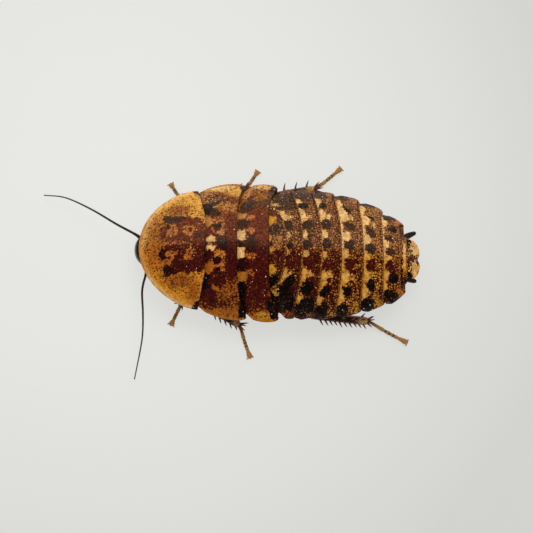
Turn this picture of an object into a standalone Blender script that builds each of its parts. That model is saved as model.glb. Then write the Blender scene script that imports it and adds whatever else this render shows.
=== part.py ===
"""A life-size discoid roach nymph, a flat oval cockroach, standing on its six feet.

All named sizes are millimetres in the body's own frame: +X runs from head to tail, +Y to the animal's
right, +Z up from the floor, and X is zero near the middle of the body. stand_on_origin() scales the
finished nodes to metres and sets the middle of the footprint on the origin.
"""

import math
import random
from collections import namedtuple

import bmesh
import bpy
from mathutils import Matrix, Vector

MM = 0.001
GAP = 0.3
WELD = 0.0005

# Whole body
MARGIN_Z = 4.4
TAIL_DROOP = 0.5
TAIL_DROOP_FROM = 8.0
TAIL_X = 21.6
RIDGE_RISE = 5.2
RIDGE_FALLS_FROM = -3.0
RIDGE_FALL_LENGTH = 26.0
THORAX_EXPONENT = 1.0
ABDOMEN_EXPONENT = 0.85
BACK_ARC_POINTS = 19
BELLY_ARC_POINTS = 11

# Plates of the back: the rear lip of each covers the front of the next
LIP = 0.3
EDGE_HEIGHT = 0.3
EDGE_CLOSES_AT = 0.75
EDGE_DRAW = 1.6
PLATE_LAP = 0.8
TAIL_LAP = 0.5
LEAST_SHOW = 0.3
BUTT_STEP = 0.25
RAMP = [(0.02, 1.0), (0.15, 0.6), (0.4, 0.15), (1.0, 0.0)]
SHORT_RAMP = [(0.3, 1.0), (1.0, 0.0)]
TAIL_RAMP = [(0.22, 1.0), (0.5, 0.4), (1.0, 0.0)]
RAMPS = {"tergite_1": SHORT_RAMP, "tergite_8": TAIL_RAMP}

# Pronotum, the hood over the head
HOOD_LIP = 0.35
STEEP_EDGE_DRAW = 2.2
HOOD_FRONT = -20.55
HOOD_WIDEST_X = -12.0
HOOD_HALF_WIDTH = 8.95
HOOD_RISE = 4.9
HOOD_FRONT_LIFT = 0.2
HOOD_CENTRE_X = -13.2
HOOD_REAR_POINTS = 13
HOOD_FRONT_POINTS = 27

# Abdomen
ABDOMEN_WIDEST_X = 2.5
ABDOMEN_HALF_WIDTH = 9.95
ABDOMEN_TAPER = 18.6
LAST_TERGITE_STEP = 0.8
BELLY_DEPTH = 1.8
BELLY_WIDTH_SHARE = 0.93
BELLY_EXPONENT = 0.7
BELLY_STEP = 0.15
BELLY_HOOK = 0.3
BELLY_REARS = [3.0, 5.9, 8.9, 12.2, 15.3, 17.6, 19.2]

# Underside of the thorax
THORAX_FLOOR_Z = 3.5
THORAX_HALF_WIDTH = 6.6
THORAX_REAR = -0.6
PROTHORAX_FRONT = -17.15
PROTHORAX_HALF_WIDTH = 5.2
PROTHORAX_SLOPE = 0.8

# Tail plate and cerci
TAIL_PLATE_HALF_WIDTH = 3.1
TAIL_PLATE_LENGTH = 1.75
TAIL_SIDE_LENGTH = 0.35
TAIL_LOBE_EXPONENT = 2.6
TAIL_NOTCH = 0.35
TAIL_NOTCH_WIDTH = 0.16

CERCUS_ROUTES = {
    "right": [(19.8, 3.5, 3.4), (20.5, 3.85, 3.4), (21.25, 4.1, 3.55)],
    "left": [(19.8, -3.15, 3.4), (20.4, -3.25, 3.4), (21.0, -3.35, 3.55)],
}

# A plate's rear edge: x on the midline, how far its sides trail, and the hook of its rear corners
Plate = namedtuple("Plate", "name rear sweep hook finish")
PLATES = [
    Plate("pronotum", -11.35, -0.5, 0.0, "amber_shell"),
    Plate("mesonotum", -6.85, 2.1, 0.0, "brown_shell"),
    Plate("metanotum", -2.2, 2.25, 0.0, "brown_shell"),
    Plate("tergite_1", 0.4, 0.0, 0.0, "mottled_shell"),
    Plate("tergite_2", 2.85, -1.2, 1.1, "mottled_shell"),
    Plate("tergite_3", 5.75, -0.8, 0.8, "mottled_shell"),
    Plate("tergite_4", 8.75, -0.4, 0.5, "mottled_shell"),
    Plate("tergite_5", 12.2, 0.0, 0.4, "mottled_shell"),
    Plate("tergite_6", 15.45, 0.3, 0.45, "mottled_shell"),
    Plate("tergite_7", 18.3, 0.3, 0.7, "mottled_shell"),
    Plate("tergite_8", 19.6, 0.0, 0.0, "mottled_shell"),
]

# Head: level, middle, half length and half width of each cross-section from the mouth up
Slice = namedtuple("Slice", "z x half_length half_width")
HEAD_SLICES = [
    Slice(0.9, -17.7, 0.35, 0.6),
    Slice(1.5, -18.0, 0.9, 1.25),
    Slice(2.3, -18.7, 1.6, 1.95),
    Slice(3.1, -19.2, 1.85, 2.4),
    Slice(3.8, -19.15, 1.75, 2.45),
    Slice(4.45, -18.8, 1.25, 2.15),
    Slice(4.85, -18.6, 0.7, 1.4),
]
HEAD_SIDES = 16
EYE_CENTRE = Vector((-19.0, 2.25, 3.75))
EYE_RADII = Vector((0.85, 0.75, 0.75))

PALP_ROUTE = [(-19.2, 2.15, 1.9), (-18.9, 2.9, 1.6), (-18.0, 3.3, 1.1), (-16.9, 3.2, 0.8)]

# Feelers: routes of the right and left one from the head to the tip
FEELER_ROUTES = {
    "right": [
        (-20.75, 2.1, 3.5),
        (-23.75, 3.71, 3.4),
        (-27.46, 5.98, 2.8),
        (-31.18, 7.78, 2.0),
        (-34.33, 8.2, 1.4),
    ],
    "left": [
        (-20.25, -2.55, 3.3),
        (-19.75, -4.3, 3.3),
        (-19.75, -6.45, 3.0),
        (-19.59, -9.21, 2.6),
        (-19.55, -11.96, 2.2),
        (-19.76, -14.16, 1.9),
        (-20.55, -18.82, 1.2),
    ],
}
FEELER_SIDES = 6
FEELER_SPLITS = [0.0, 0.1, 0.55, 1.0]
FEELER_PARTS = ["scape", "flagellum_1", "flagellum_2"]
FEELER_ROOT_RADIUS = 0.36
FEELER_RADIUS = 0.27
FEELER_TIP_RADIUS = 0.1

# Legs, each joint's place seen from above, and the heights shared by all six
Leg = namedtuple("Leg", "name coxa_root trochanter knee ankle toe spines")
LEGS = [
    Leg("front_left", (-15.6, -3.4), (-13.3, -0.9), (-11.2, -4.4), (-13.75, -7.25), (-15.05, -9.9), 3),
    Leg("front_right", (-15.6, 3.4), (-13.3, 1.3), (-11.2, 5.2), (-13.85, 8.85), (-15.35, 10.85), 3),
    Leg("mid_left", (-10.6, -5.2), (-6.6, -1.7), (-10.7, -7.5), (-5.1, -10.3), (-3.55, -14.4), 5),
    Leg("mid_right", (-10.6, 5.2), (-6.6, 1.7), (-10.3, 8.0), (-4.1, 10.75), (-2.5, 13.4), 5),
    Leg("hind_left", (-5.2, -5.4), (-2.0, -1.5), (4.6, -7.9), (14.5, -9.1), (20.0, -11.6), 8),
    Leg("hind_right", (-5.2, 5.4), (-2.0, 1.5), (-2.7, 9.55), (6.95, 11.4), (10.45, 14.7), 8),
]
COXA_Z = 2.72
COXA_HALF_HEIGHT = 0.47
FEMUR_Z = 1.28
FEMUR_HALF_HEIGHT = 0.62
TIBIA_Z = 1.25
ANKLE_Z = 1.05
TIBIA_RADIUS = 0.52
KNEE_CLEARANCE = 1.0
LEG_SIDES = 8
TARSUS_SIDES = 8
TARSUS_RADIUS = 0.28
SOLE_AXIS_Z = 0.252
SOLE_FROM = 0.62
TARSUS_JOINTS = [0.0, 0.4, 0.56, 0.67, 0.76, 1.0]
CLAW_LENGTH = 0.75
CLAW_SPREAD = math.radians(34)

# Spines of the tibiae: a row along each flank and a crown at the end
SPINE_LENGTH = 0.9
SPINE_RADIUS = 0.26
SPINE_TIP_RADIUS = 0.04
SPINE_SIDES = 4
SPINE_LEAN = math.radians(50)
SPINE_LEAN_SPREAD = 0.08
SPINE_LENGTH_SHARES = (0.85, 1.1)
SPINE_RAISE = math.radians(14)
SPINE_ROWS_FROM = 0.23
SPINE_ROWS_TO = 0.89
SPINE_STAGGER = 0.25
SPINE_SEED = 11
CROWN_PLACE = 0.93
CROWN_LEAN = math.radians(48)
CROWN_LENGTH_SHARES = (0.7, 0.9)
CROWN_TURNS = [math.radians(angle) for angle in (-10, 55, 125)]

# Colours: linear RGB, roughness
MATERIALS = {
    "amber_shell": ((0.50, 0.26, 0.07), 0.35),
    "brown_shell": ((0.12, 0.035, 0.015), 0.35),
    "mottled_shell": ((0.36, 0.20, 0.06), 0.4),
    "belly": ((0.30, 0.14, 0.045), 0.4),
    "black_shell": ((0.012, 0.010, 0.009), 0.25),
    "eye": ((0.008, 0.007, 0.007), 0.15),
    "feeler": ((0.035, 0.022, 0.012), 0.45),
    "leg": ((0.13, 0.05, 0.018), 0.35),
    "foot": ((0.42, 0.22, 0.06), 0.4),
}


def clear_scene():
    """Empties the scene of whatever was in it."""
    for old in list(bpy.data.objects):
        bpy.data.objects.remove(old)


def material(name):
    """The named finish, made once."""
    found = bpy.data.materials.get(name)
    if found:
        return found
    colour, roughness = MATERIALS[name]
    made = bpy.data.materials.new(name)
    made.use_nodes = True
    shader = made.node_tree.nodes["Principled BSDF"]
    shader.inputs["Base Color"].default_value = (*colour, 1.0)
    shader.inputs["Roughness"].default_value = roughness
    shader.inputs["Metallic"].default_value = 0.0
    return made


def add_object(name, bm, finish):
    """Turns a bmesh into a smooth-shaded object of the scene."""
    mesh = bpy.data.meshes.new(name)
    bmesh.ops.recalc_face_normals(bm, faces=bm.faces)
    bm.to_mesh(mesh)
    bm.free()
    made = bpy.data.objects.new(name, mesh)
    bpy.context.scene.collection.objects.link(made)
    mesh.materials.append(material(finish))
    mesh.shade_smooth()
    mesh.set_sharp_from_angle(angle=math.radians(40))
    return made


def wrap_rings(rings):
    """A closed skin over a row of rings with equal point counts: a grid, wrapped, welded and capped."""
    count = len(rings[0])
    bm = bmesh.new()
    bmesh.ops.create_grid(bm, x_segments=count, y_segments=len(rings) - 1, size=1.0)
    bm.verts.ensure_lookup_table()
    for row, ring in enumerate(rings):
        for column in range(count + 1):
            bm.verts[row * (count + 1) + column].co = ring[column % count]
    bmesh.ops.remove_doubles(bm, verts=bm.verts, dist=WELD)
    bmesh.ops.holes_fill(bm, edges=bm.edges)
    bmesh.ops.triangulate(bm, faces=bm.faces)
    return bm


def keep_largest_surface(obj):
    """Drops every closed surface of a mesh but the largest, such as a scrap that a cut leaves."""
    bm = bmesh.new()
    bm.from_mesh(obj.data)
    left = set(bm.verts)
    surfaces = []
    while left:
        seed = left.pop()
        surface = [seed]
        for vert in surface:
            for edge in vert.link_edges:
                other = edge.other_vert(vert)
                if other in left:
                    left.discard(other)
                    surface.append(other)
        surfaces.append(surface)
    surfaces.sort(key=len)
    scraps = [vert for surface in surfaces[:-1] for vert in surface]
    bmesh.ops.delete(bm, geom=scraps, context="VERTS")
    bmesh.ops.remove_doubles(bm, verts=bm.verts, dist=WELD)
    bmesh.ops.triangulate(bm, faces=bm.faces)
    bm.to_mesh(obj.data)
    bm.free()


def apply_modifiers(obj):
    """Replaces an object's mesh by what its modifiers make of it."""
    bpy.context.view_layer.update()
    evaluated = obj.evaluated_get(bpy.context.evaluated_depsgraph_get())
    made = bpy.data.meshes.new_from_object(evaluated)
    obj.modifiers.clear()
    obj.data = made


def fuse(base, pieces):
    """Joins closed pieces onto a base in one Boolean union, then removes them."""
    group = bpy.data.collections.new(base.name + "_pieces")
    bpy.context.scene.collection.children.link(group)
    for piece in pieces:
        bpy.context.scene.collection.objects.unlink(piece)
        group.objects.link(piece)
    union = base.modifiers.new("fuse", "BOOLEAN")
    union.operation = "UNION"
    union.operand_type = "COLLECTION"
    union.collection = group
    union.solver = "EXACT"
    apply_modifiers(base)
    for piece in pieces:
        bpy.data.objects.remove(piece)
    bpy.data.collections.remove(group)
    keep_largest_surface(base)
    return base


def carve(base, cutter):
    """Takes a closed cutter out of a base, then removes it."""
    cut = base.modifiers.new("carve", "BOOLEAN")
    cut.operation = "DIFFERENCE"
    cut.object = cutter
    cut.solver = "EXACT"
    apply_modifiers(base)
    bpy.data.objects.remove(cutter)
    keep_largest_surface(base)
    return base


# Outline and height of the body


def margin_z(x):
    """Height of the body's side margin at x."""
    past = max(0.0, x - TAIL_DROOP_FROM) / (TAIL_X - TAIL_DROOP_FROM)
    return MARGIN_Z - TAIL_DROOP * past**2


def ridge_rise(x):
    """Height of the back's ridge above the margin at x."""
    past = (x - RIDGE_FALLS_FROM) / RIDGE_FALL_LENGTH
    if past > 0:
        return RIDGE_RISE * (1.0 - past**2.5)
    ahead = (RIDGE_FALLS_FROM - x) / (RIDGE_FALLS_FROM - PLATES[0].rear)
    return RIDGE_RISE - (RIDGE_RISE - HOOD_RISE) * ahead**2


def belly_depth(x):
    """Depth of the belly below the margin at x."""
    past = max(0.0, x - ABDOMEN_WIDEST_X) / (TAIL_X + 1.5 - ABDOMEN_WIDEST_X)
    return BELLY_DEPTH * (1.0 - past**2.2)


def hood_half_width(x):
    """Half the pronotum's width at x."""
    ahead = max(0.0, (HOOD_WIDEST_X - x) / (HOOD_WIDEST_X - HOOD_FRONT))
    return HOOD_HALF_WIDTH * math.sqrt(max(0.0, 1.0 - ahead**1.6))


def mesonotum_half_width(x):
    """Half the second thorax plate's width at x."""
    return 10.35 - 0.047 * (x + 6.0) ** 2


def metanotum_half_width(x):
    """Half the third thorax plate's width at x."""
    return 10.5 - 0.08 * (x + 1.8) ** 2


def abdomen_half_width(x):
    """Half the abdomen's width at x."""
    ahead = max(0.0, ABDOMEN_WIDEST_X - x)
    past = min(1.0, max(0.0, x - ABDOMEN_WIDEST_X) / ABDOMEN_TAPER)
    return ABDOMEN_HALF_WIDTH * (1.0 - past**2.2) ** 0.49 - 0.06 * ahead**2


def last_tergite_half_width(x):
    """Half the width of the last tergite, which stays inside the hooked corners of the one before."""
    return abdomen_half_width(x) - LAST_TERGITE_STEP


def belly_half_width(x):
    """Half the width of the sternites at x."""
    return BELLY_WIDTH_SHARE * abdomen_half_width(x)


def tail_plate_half_width(x):
    """Half the width of the last plate, which is the same all along."""
    return TAIL_PLATE_HALF_WIDTH


def hood_height(x, y):
    """Top of the pronotum's dome at a place."""
    ahead = max(0.0, (HOOD_WIDEST_X - x) / (HOOD_WIDEST_X - HOOD_FRONT))
    inside = max(0.0, 1.0 - ahead**1.6 - (y / HOOD_HALF_WIDTH) ** 2)
    return MARGIN_Z + EDGE_HEIGHT + HOOD_FRONT_LIFT * ahead + (HOOD_RISE - EDGE_HEIGHT) * inside


def back_edge(number, share):
    """x of a back plate's rear edge, at a share of the half width from the midline."""
    plate = PLATES[number]
    side = abs(share)
    edge = plate.rear + plate.sweep * side**3 + plate.hook * side**16
    if number == 0:
        return edge
    return max(edge, back_edge(number - 1, share) + LEAST_SHOW)


def belly_edge(number, share):
    """x of a sternite's rear edge, at a share of the half width from the midline."""
    if number < 0:
        return THORAX_REAR
    return BELLY_REARS[number] + BELLY_HOOK * abs(share) ** 8


def tail_edge(share):
    """x of the tail plate's rear edge, two round lobes with a notch between them."""
    bulge = math.sqrt(max(0.0, 1.0 - abs(share) ** TAIL_LOBE_EXPONENT))
    lobes = TAIL_SIDE_LENGTH + (TAIL_PLATE_LENGTH - TAIL_SIDE_LENGTH) * bulge
    return PLATES[-1].rear + GAP + lobes - TAIL_NOTCH * math.exp(-((share / TAIL_NOTCH_WIDTH) ** 2))


# Nested plates of the back and belly


def back_ring(half_width, exponent, x_at, inset, edge_draw=EDGE_DRAW):
    """One cross-section of a back plate, an arch over a flat bottom at the margin.

    x_at gives x from the share of the half width, and inset moves the ring inwards all round.
    """
    ring = []
    for step in range(BACK_ARC_POINTS):
        share = math.sin(math.pi * (step / (BACK_ARC_POINTS - 1) - 0.5))
        x = x_at(share)
        edge = EDGE_HEIGHT * (1.0 - inset / EDGE_CLOSES_AT)
        rise = ridge_rise(x) - edge - 2.0 * inset
        height = margin_z(x) + edge + inset + rise * (1.0 - share**2) ** exponent
        ring.append(Vector((x, share * (half_width(x) - edge_draw * inset), height)))
    for share in (0.98, 0.5, 0.0, -0.5, -0.98):
        x = x_at(share)
        ring.append(Vector((x, share * (half_width(x) - edge_draw * inset), margin_z(x) + inset)))
    return ring


def belly_ring(x_at, inset):
    """One cross-section of a sternite, an arch under a flat top just below the margin."""
    ring = []
    for step in range(BELLY_ARC_POINTS):
        share = math.sin(math.pi * (step / (BELLY_ARC_POINTS - 1) - 0.5))
        x = x_at(share)
        depth = belly_depth(x) - EDGE_HEIGHT - 2.0 * inset
        height = margin_z(x) - GAP - EDGE_HEIGHT - inset - depth * (1.0 - share**2) ** BELLY_EXPONENT
        ring.append(Vector((x, share * (belly_half_width(x) - EDGE_DRAW * inset), height)))
    for share in (0.97, 0.0, -0.97):
        x = x_at(share)
        ring.append(Vector((x, share * (belly_half_width(x) - EDGE_DRAW * inset), margin_z(x) - GAP - inset)))
    return ring


def nested_rings(
    ring_at, edge_before, edge, tuck, lap=PLATE_LAP, next_lap=PLATE_LAP, ramp=RAMP, butted=False, closed=False
):
    """Rings of a plate whose front is tucked under the plate before it and whose rear lip covers the next.

    ramp gives how much of the tuck is left at each share of the way from one rear edge to the other. A butted
    plate starts behind the one before instead, and a closed one has no lip over the next.
    """
    shares = [step / 10 for step in range(11)]
    front_wall = min(edge_before(share) for share in shares) - lap
    rear_wall = min(edge(share) for share in shares) - next_lap - GAP

    def between(station):
        return lambda share: (1 - station) * edge_before(share) + station * edge(share)

    if butted:
        rings = [ring_at(lambda share: edge_before(share) + GAP, BUTT_STEP), ring_at(between(0.4), 0.0)]
        rings.append(ring_at(edge, 0.0))
    else:
        rings = [ring_at(lambda share: front_wall, tuck)]
        rings += [ring_at(between(station), tuck * keep) for station, keep in ramp]
    if not closed:
        rings.append(ring_at(edge, LIP))
        rings.append(ring_at(lambda share: rear_wall, LIP))
    return rings


def build_hood():
    """The pronotum: a domed shell, open below, that covers the head and the roots of the front legs."""
    rim = []
    for step in range(HOOD_REAR_POINTS):
        share = -1.0 + 2.0 * step / (HOOD_REAR_POINTS - 1)
        x = back_edge(0, share)
        rim.append(Vector((x, share * hood_half_width(x) * 0.985, 0)))
    for step in range(1, HOOD_FRONT_POINTS - 1):
        turn = math.pi * step / (HOOD_FRONT_POINTS - 1)
        x = HOOD_WIDEST_X - abs(math.sin(turn)) ** 1.15 * (HOOD_WIDEST_X - HOOD_FRONT)
        side = 1 if turn < math.pi / 2 else -1
        rim.append(Vector((x, side * hood_half_width(x), 0)))
    centre = Vector((HOOD_CENTRE_X, 0, 0))

    def ring(reach, drop):
        spots = [centre + reach * (point - centre) for point in rim]
        return [Vector((spot.x, spot.y, hood_height(spot.x, spot.y) - drop)) for spot in spots]

    rings = [ring(reach, 0.0) for reach in (0.08, 0.35, 0.6, 0.78, 0.92)]
    rings += [ring(1.0, 0.08), ring(1.0, HOOD_LIP)]
    rings += [ring(reach, HOOD_LIP) for reach in (0.9, 0.7, 0.4)]
    return add_object("pronotum", wrap_rings(rings), "amber_shell")


def build_back():
    """Pronotum, the two other thorax plates and the tergites, front to rear."""
    build_hood()
    widths = [None, mesonotum_half_width, metanotum_half_width] + [abdomen_half_width] * 7
    widths.append(last_tergite_half_width)
    for number in range(1, len(PLATES)):
        name = PLATES[number].name
        exponent = THORAX_EXPONENT if number < 3 else ABDOMEN_EXPONENT
        draw = STEEP_EDGE_DRAW if name == "mesonotum" else EDGE_DRAW
        tuck = GAP + (HOOD_LIP if number == 1 else LIP)
        rings = nested_rings(
            lambda x_at, inset: back_ring(widths[number], exponent, x_at, inset, draw),
            lambda share: back_edge(number - 1, share),
            lambda share: back_edge(number, share),
            tuck,
            lap=TAIL_LAP if name == "tergite_8" else PLATE_LAP,
            next_lap=TAIL_LAP if name == "tergite_7" else PLATE_LAP,
            ramp=RAMPS.get(name, RAMP),
            butted=name == "tergite_2",
            closed=name in ("tergite_1", "tergite_8"),
        )
        add_object(name, wrap_rings(rings), PLATES[number].finish)


def build_tail_plate():
    """The supra-anal plate, a thin lobed flap behind the last tergite."""
    rings = nested_rings(
        lambda x_at, inset: back_ring(tail_plate_half_width, ABDOMEN_EXPONENT, x_at, inset),
        lambda share: PLATES[-1].rear,
        tail_edge,
        LIP + GAP,
        butted=True,
        closed=True,
    )
    add_object("supra_anal_plate", wrap_rings(rings), "amber_shell")


def build_belly():
    """Sternites under the abdomen, each butted against the one before, from the thorax to the tail."""
    for number in range(len(BELLY_REARS)):
        rings = []
        for station, inset in ((0.0, BELLY_STEP), (0.2, 0.0), (1.0, 0.0)):
            rings.append(
                belly_ring(
                    lambda share: (1 - station) * (belly_edge(number - 1, share) + GAP)
                    + station * belly_edge(number, share),
                    inset,
                )
            )
        add_object(f"sternite_{number + 2}", wrap_rings(rings), "belly")


# Thorax below the plates


def build_prothorax():
    """The block under the pronotum that carries it, the neck and the front legs."""
    rings = []
    for step in range(4):
        rear = PLATES[0].rear - 0.5 - PLATE_LAP - GAP
        x = PROTHORAX_FRONT + (rear - PROTHORAX_FRONT) * step / 3
        ring = []
        for share in (-1.0, -0.75, -0.4, 0.0, 0.4, 0.75, 1.0):
            y = share * PROTHORAX_HALF_WIDTH
            ring.append(Vector((x, y, hood_height(x, y) - HOOD_LIP - GAP - 0.05)))
        wide, narrow = PROTHORAX_HALF_WIDTH, PROTHORAX_HALF_WIDTH - PROTHORAX_SLOPE
        below = [(wide, MARGIN_Z), (narrow, THORAX_FLOOR_Z), (-narrow, THORAX_FLOOR_Z), (-wide, MARGIN_Z)]
        ring += [Vector((x, y, z)) for y, z in below]
        rings.append(ring)
    add_object("prothorax", wrap_rings(rings), "belly")


def build_thorax_underside():
    """The flat floor of the thorax that the middle and hind legs hang from."""
    front = PLATES[0].rear - 0.5 - PLATE_LAP
    rings = []
    for station, narrow in ((0.0, 1.2), (0.3, 0.3), (0.8, 0.0), (1.0, 0.5)):
        x = front + (THORAX_REAR - front) * station
        wide = THORAX_HALF_WIDTH - narrow
        top = MARGIN_Z - GAP
        sides = [(-wide, top), (wide, top), (wide - 0.7, THORAX_FLOOR_Z), (0.7 - wide, THORAX_FLOOR_Z)]
        rings.append([Vector((x, y, z)) for y, z in sides])
    add_object("thorax_underside", wrap_rings(rings), "belly")


# Head


def head_rings(grow=0.0):
    """Level cross-sections of the head, each moved outwards by grow."""
    rings = []
    for level, part in enumerate(HEAD_SLICES):
        z = part.z
        if level == 0:
            z -= grow
        if level == len(HEAD_SLICES) - 1:
            z += grow
        ring = []
        for step in range(HEAD_SIDES):
            turn = math.tau * step / HEAD_SIDES
            x = part.x + (part.half_length + grow) * math.cos(turn)
            ring.append(Vector((x, (part.half_width + grow) * math.sin(turn), z)))
        rings.append(ring)
    return rings


def build_head():
    """The head under the hood, with an eye seated against each side."""
    add_object("head", wrap_rings(head_rings()), "black_shell")
    for name, side in (("right", 1), ("left", -1)):
        bm = bmesh.new()
        place = Matrix.Translation((EYE_CENTRE.x, side * EYE_CENTRE.y, EYE_CENTRE.z))
        bmesh.ops.create_uvsphere(
            bm, u_segments=12, v_segments=8, radius=1.0, matrix=place @ Matrix.Diagonal((*EYE_RADII, 1.0))
        )
        bmesh.ops.triangulate(bm, faces=bm.faces)
        eye = add_object(f"eye_{name}", bm, "eye")
        carve(eye, add_object("eye_seat", wrap_rings(head_rings(GAP)), "eye"))


# Tubes: feelers, palps, cerci and legs


def smooth_route(points, count):
    """Evenly numbered points on a smooth curve through the given ones."""
    spots = [Vector(point) for point in points]
    spots = [2 * spots[0] - spots[1]] + spots + [2 * spots[-1] - spots[-2]]
    route = []
    spans = len(spots) - 3
    for step in range(count):
        where = spans * step / (count - 1)
        span = min(int(where), spans - 1)
        t = where - span
        a, b, c, d = spots[span : span + 4]
        spot = b + 0.5 * t * (c - a + t * (2 * a - 5 * b + 4 * c - d + t * (3 * (b - c) + d - a)))
        route.append(spot)
    return route


def tube(route, widths, heights, sides, floor=None):
    """A tube along a route, flat at both ends, with a half width and a half height at each point."""
    rings = []
    for step, spot in enumerate(route):
        ahead = route[min(step + 1, len(route) - 1)] - route[max(step - 1, 0)]
        across = Vector((0, 0, 1)).cross(ahead).normalized()
        up = ahead.cross(across).normalized()
        ring = []
        for corner in range(sides):
            turn = math.tau * (corner + 0.5) / sides
            point = spot + across * widths[step] * math.cos(turn) + up * heights[step] * math.sin(turn)
            if floor is not None:
                point.z = max(point.z, floor)
            ring.append(point)
        rings.append(ring)
    return wrap_rings(rings)


def cut_route(route, start, end, count):
    """Points of a route from one share of its length to another."""
    reach = [0.0]
    for a, b in zip(route, route[1:]):
        reach.append(reach[-1] + (b - a).length)
    cut = []
    for step in range(count):
        goal = reach[-1] * (start + (end - start) * step / (count - 1))
        place = next((index for index in range(1, len(reach)) if reach[index] >= goal - WELD), len(reach) - 1)
        share = (goal - reach[place - 1]) / (reach[place] - reach[place - 1])
        cut.append(route[place - 1].lerp(route[place], share))
    return cut, reach[-1]


def build_feelers():
    """Each antenna in three lengths that meet end to end."""
    for side, points in FEELER_ROUTES.items():
        route = smooth_route(points, 60)
        length = cut_route(route, 0.0, 1.0, 2)[1]
        for number, part in enumerate(FEELER_PARTS):
            start = FEELER_SPLITS[number] + (GAP / length if number else 0.0)
            end = FEELER_SPLITS[number + 1]
            count = (3, 10, 10)[number]
            spots, _ = cut_route(route, start, end, count)
            radii = [FEELER_RADIUS] * count
            if number == 0:
                radii = [FEELER_ROOT_RADIUS * 0.8, FEELER_ROOT_RADIUS, FEELER_ROOT_RADIUS * 0.85]
            if number == 2:
                radii[-1] = FEELER_TIP_RADIUS
            add_object(f"antenna_{side}_{part}", tube(spots, radii, radii, FEELER_SIDES), "feeler")


def build_palps():
    """The maxillary palps, short feelers folded back under the head."""
    for name, side in (("right", 1), ("left", -1)):
        route = smooth_route([(x, side * y, z) for x, y, z in PALP_ROUTE], 6)
        radii = [0.25, 0.28, 0.26, 0.28, 0.3, 0.15]
        add_object(f"maxillary_palp_{name}", tube(route, radii, radii, FEELER_SIDES), "leg")


def build_cerci():
    """The two short, stout tail feelers beside the last plate."""
    for name, points in CERCUS_ROUTES.items():
        route = smooth_route(points, 4)
        radii = [0.3, 0.36, 0.32, 0.16]
        add_object(f"cercus_{name}", tube(route, radii, radii, LEG_SIDES), "black_shell")


def build_coxa(leg):
    """The broad flat first joint of a leg, lying back under the thorax."""
    root, tip = Vector((*leg.coxa_root, COXA_Z)), Vector((*leg.trochanter, COXA_Z))
    route = [root.lerp(tip, share) for share in (0.0, 0.12, 0.45, 0.8, 1.0)]
    widths = [0.8, 1.2, 1.3, 0.95, 0.5]
    heights = [COXA_HALF_HEIGHT * share for share in (0.75, 1.0, 1.0, 1.0, 0.8)]
    add_object(f"{leg.name}_coxa", tube(route, widths, heights, LEG_SIDES), "leg")


def build_femur(leg):
    """Trochanter and femur, starting just under the coxa's tip."""
    root, knee = Vector((*leg.trochanter, FEMUR_Z)), Vector((*leg.knee, FEMUR_Z))
    route = [root.lerp(knee, share) for share in (-0.06, 0.05, 0.35, 0.7, 0.94, 1.0)]
    widths = [0.35, 0.6, 0.8, 0.72, 0.5, 0.35]
    heights = [FEMUR_HALF_HEIGHT * share for share in (0.7, 1.0, 1.0, 0.95, 0.85, 0.6)]
    add_object(f"{leg.name}_femur", tube(route, widths, heights, LEG_SIDES), "leg")


def tibia_line(leg):
    """Root and end of a tibia's middle line, clear of the femur's end."""
    knee, ankle = Vector((*leg.knee, TIBIA_Z)), Vector((*leg.ankle, ANKLE_Z))
    return knee + KNEE_CLEARANCE * (ankle - knee).normalized(), ankle


def spine(root, along, turn, lean, length):
    """One spine from the tibia's middle line, turned round it by turn and leaning away by lean."""
    across = Vector((0, 0, 1)).cross(along).normalized()
    outward = across * math.cos(turn) + along.cross(across) * math.sin(turn)
    aim = outward * math.sin(lean) + along * math.cos(lean)
    depth = TIBIA_RADIUS / math.sin(lean) + length
    bm = bmesh.new()
    place = Matrix.Translation(root + aim * depth / 2) @ aim.to_track_quat("Z", "X").to_matrix().to_4x4()
    bmesh.ops.create_cone(
        bm,
        cap_ends=True,
        segments=SPINE_SIDES,
        radius1=SPINE_RADIUS,
        radius2=SPINE_TIP_RADIUS,
        depth=depth,
        matrix=place,
    )
    bmesh.ops.triangulate(bm, faces=bm.faces)
    return add_object("spine", bm, "leg")


def build_tibia(leg, draw):
    """The tibia, with spines leaning towards the foot."""
    root, ankle = tibia_line(leg)
    route = [root.lerp(ankle, share) for share in (0.0, 0.12, 0.5, 0.93, 1.0)]
    radii = [TIBIA_RADIUS * share for share in (0.7, 0.95, 1.0, 1.1, 0.85)]
    tibia = add_object(f"{leg.name}_tibia", tube(route, radii, radii, LEG_SIDES), "leg")
    along = (ankle - root).normalized()
    spines = []
    for side, turn in ((1, SPINE_RAISE), (-1, math.pi - SPINE_RAISE)):
        for number in range(leg.spines):
            place = (number + SPINE_STAGGER * side) / leg.spines
            share = SPINE_ROWS_FROM + (SPINE_ROWS_TO - SPINE_ROWS_FROM) * place
            lean = SPINE_LEAN + draw.uniform(-SPINE_LEAN_SPREAD, SPINE_LEAN_SPREAD)
            length = SPINE_LENGTH * draw.uniform(*SPINE_LENGTH_SHARES)
            spines.append(spine(root.lerp(ankle, share), along, turn, lean, length))
    foot = Vector((*leg.toe, ANKLE_Z)) - ankle
    for turn in CROWN_TURNS:
        away = math.pi - turn if along.cross(foot).z > 0 else turn
        length = SPINE_LENGTH * draw.uniform(*CROWN_LENGTH_SHARES)
        spines.append(spine(root.lerp(ankle, CROWN_PLACE), along, away, CROWN_LEAN, length))
    fuse(tibia, spines)


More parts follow.
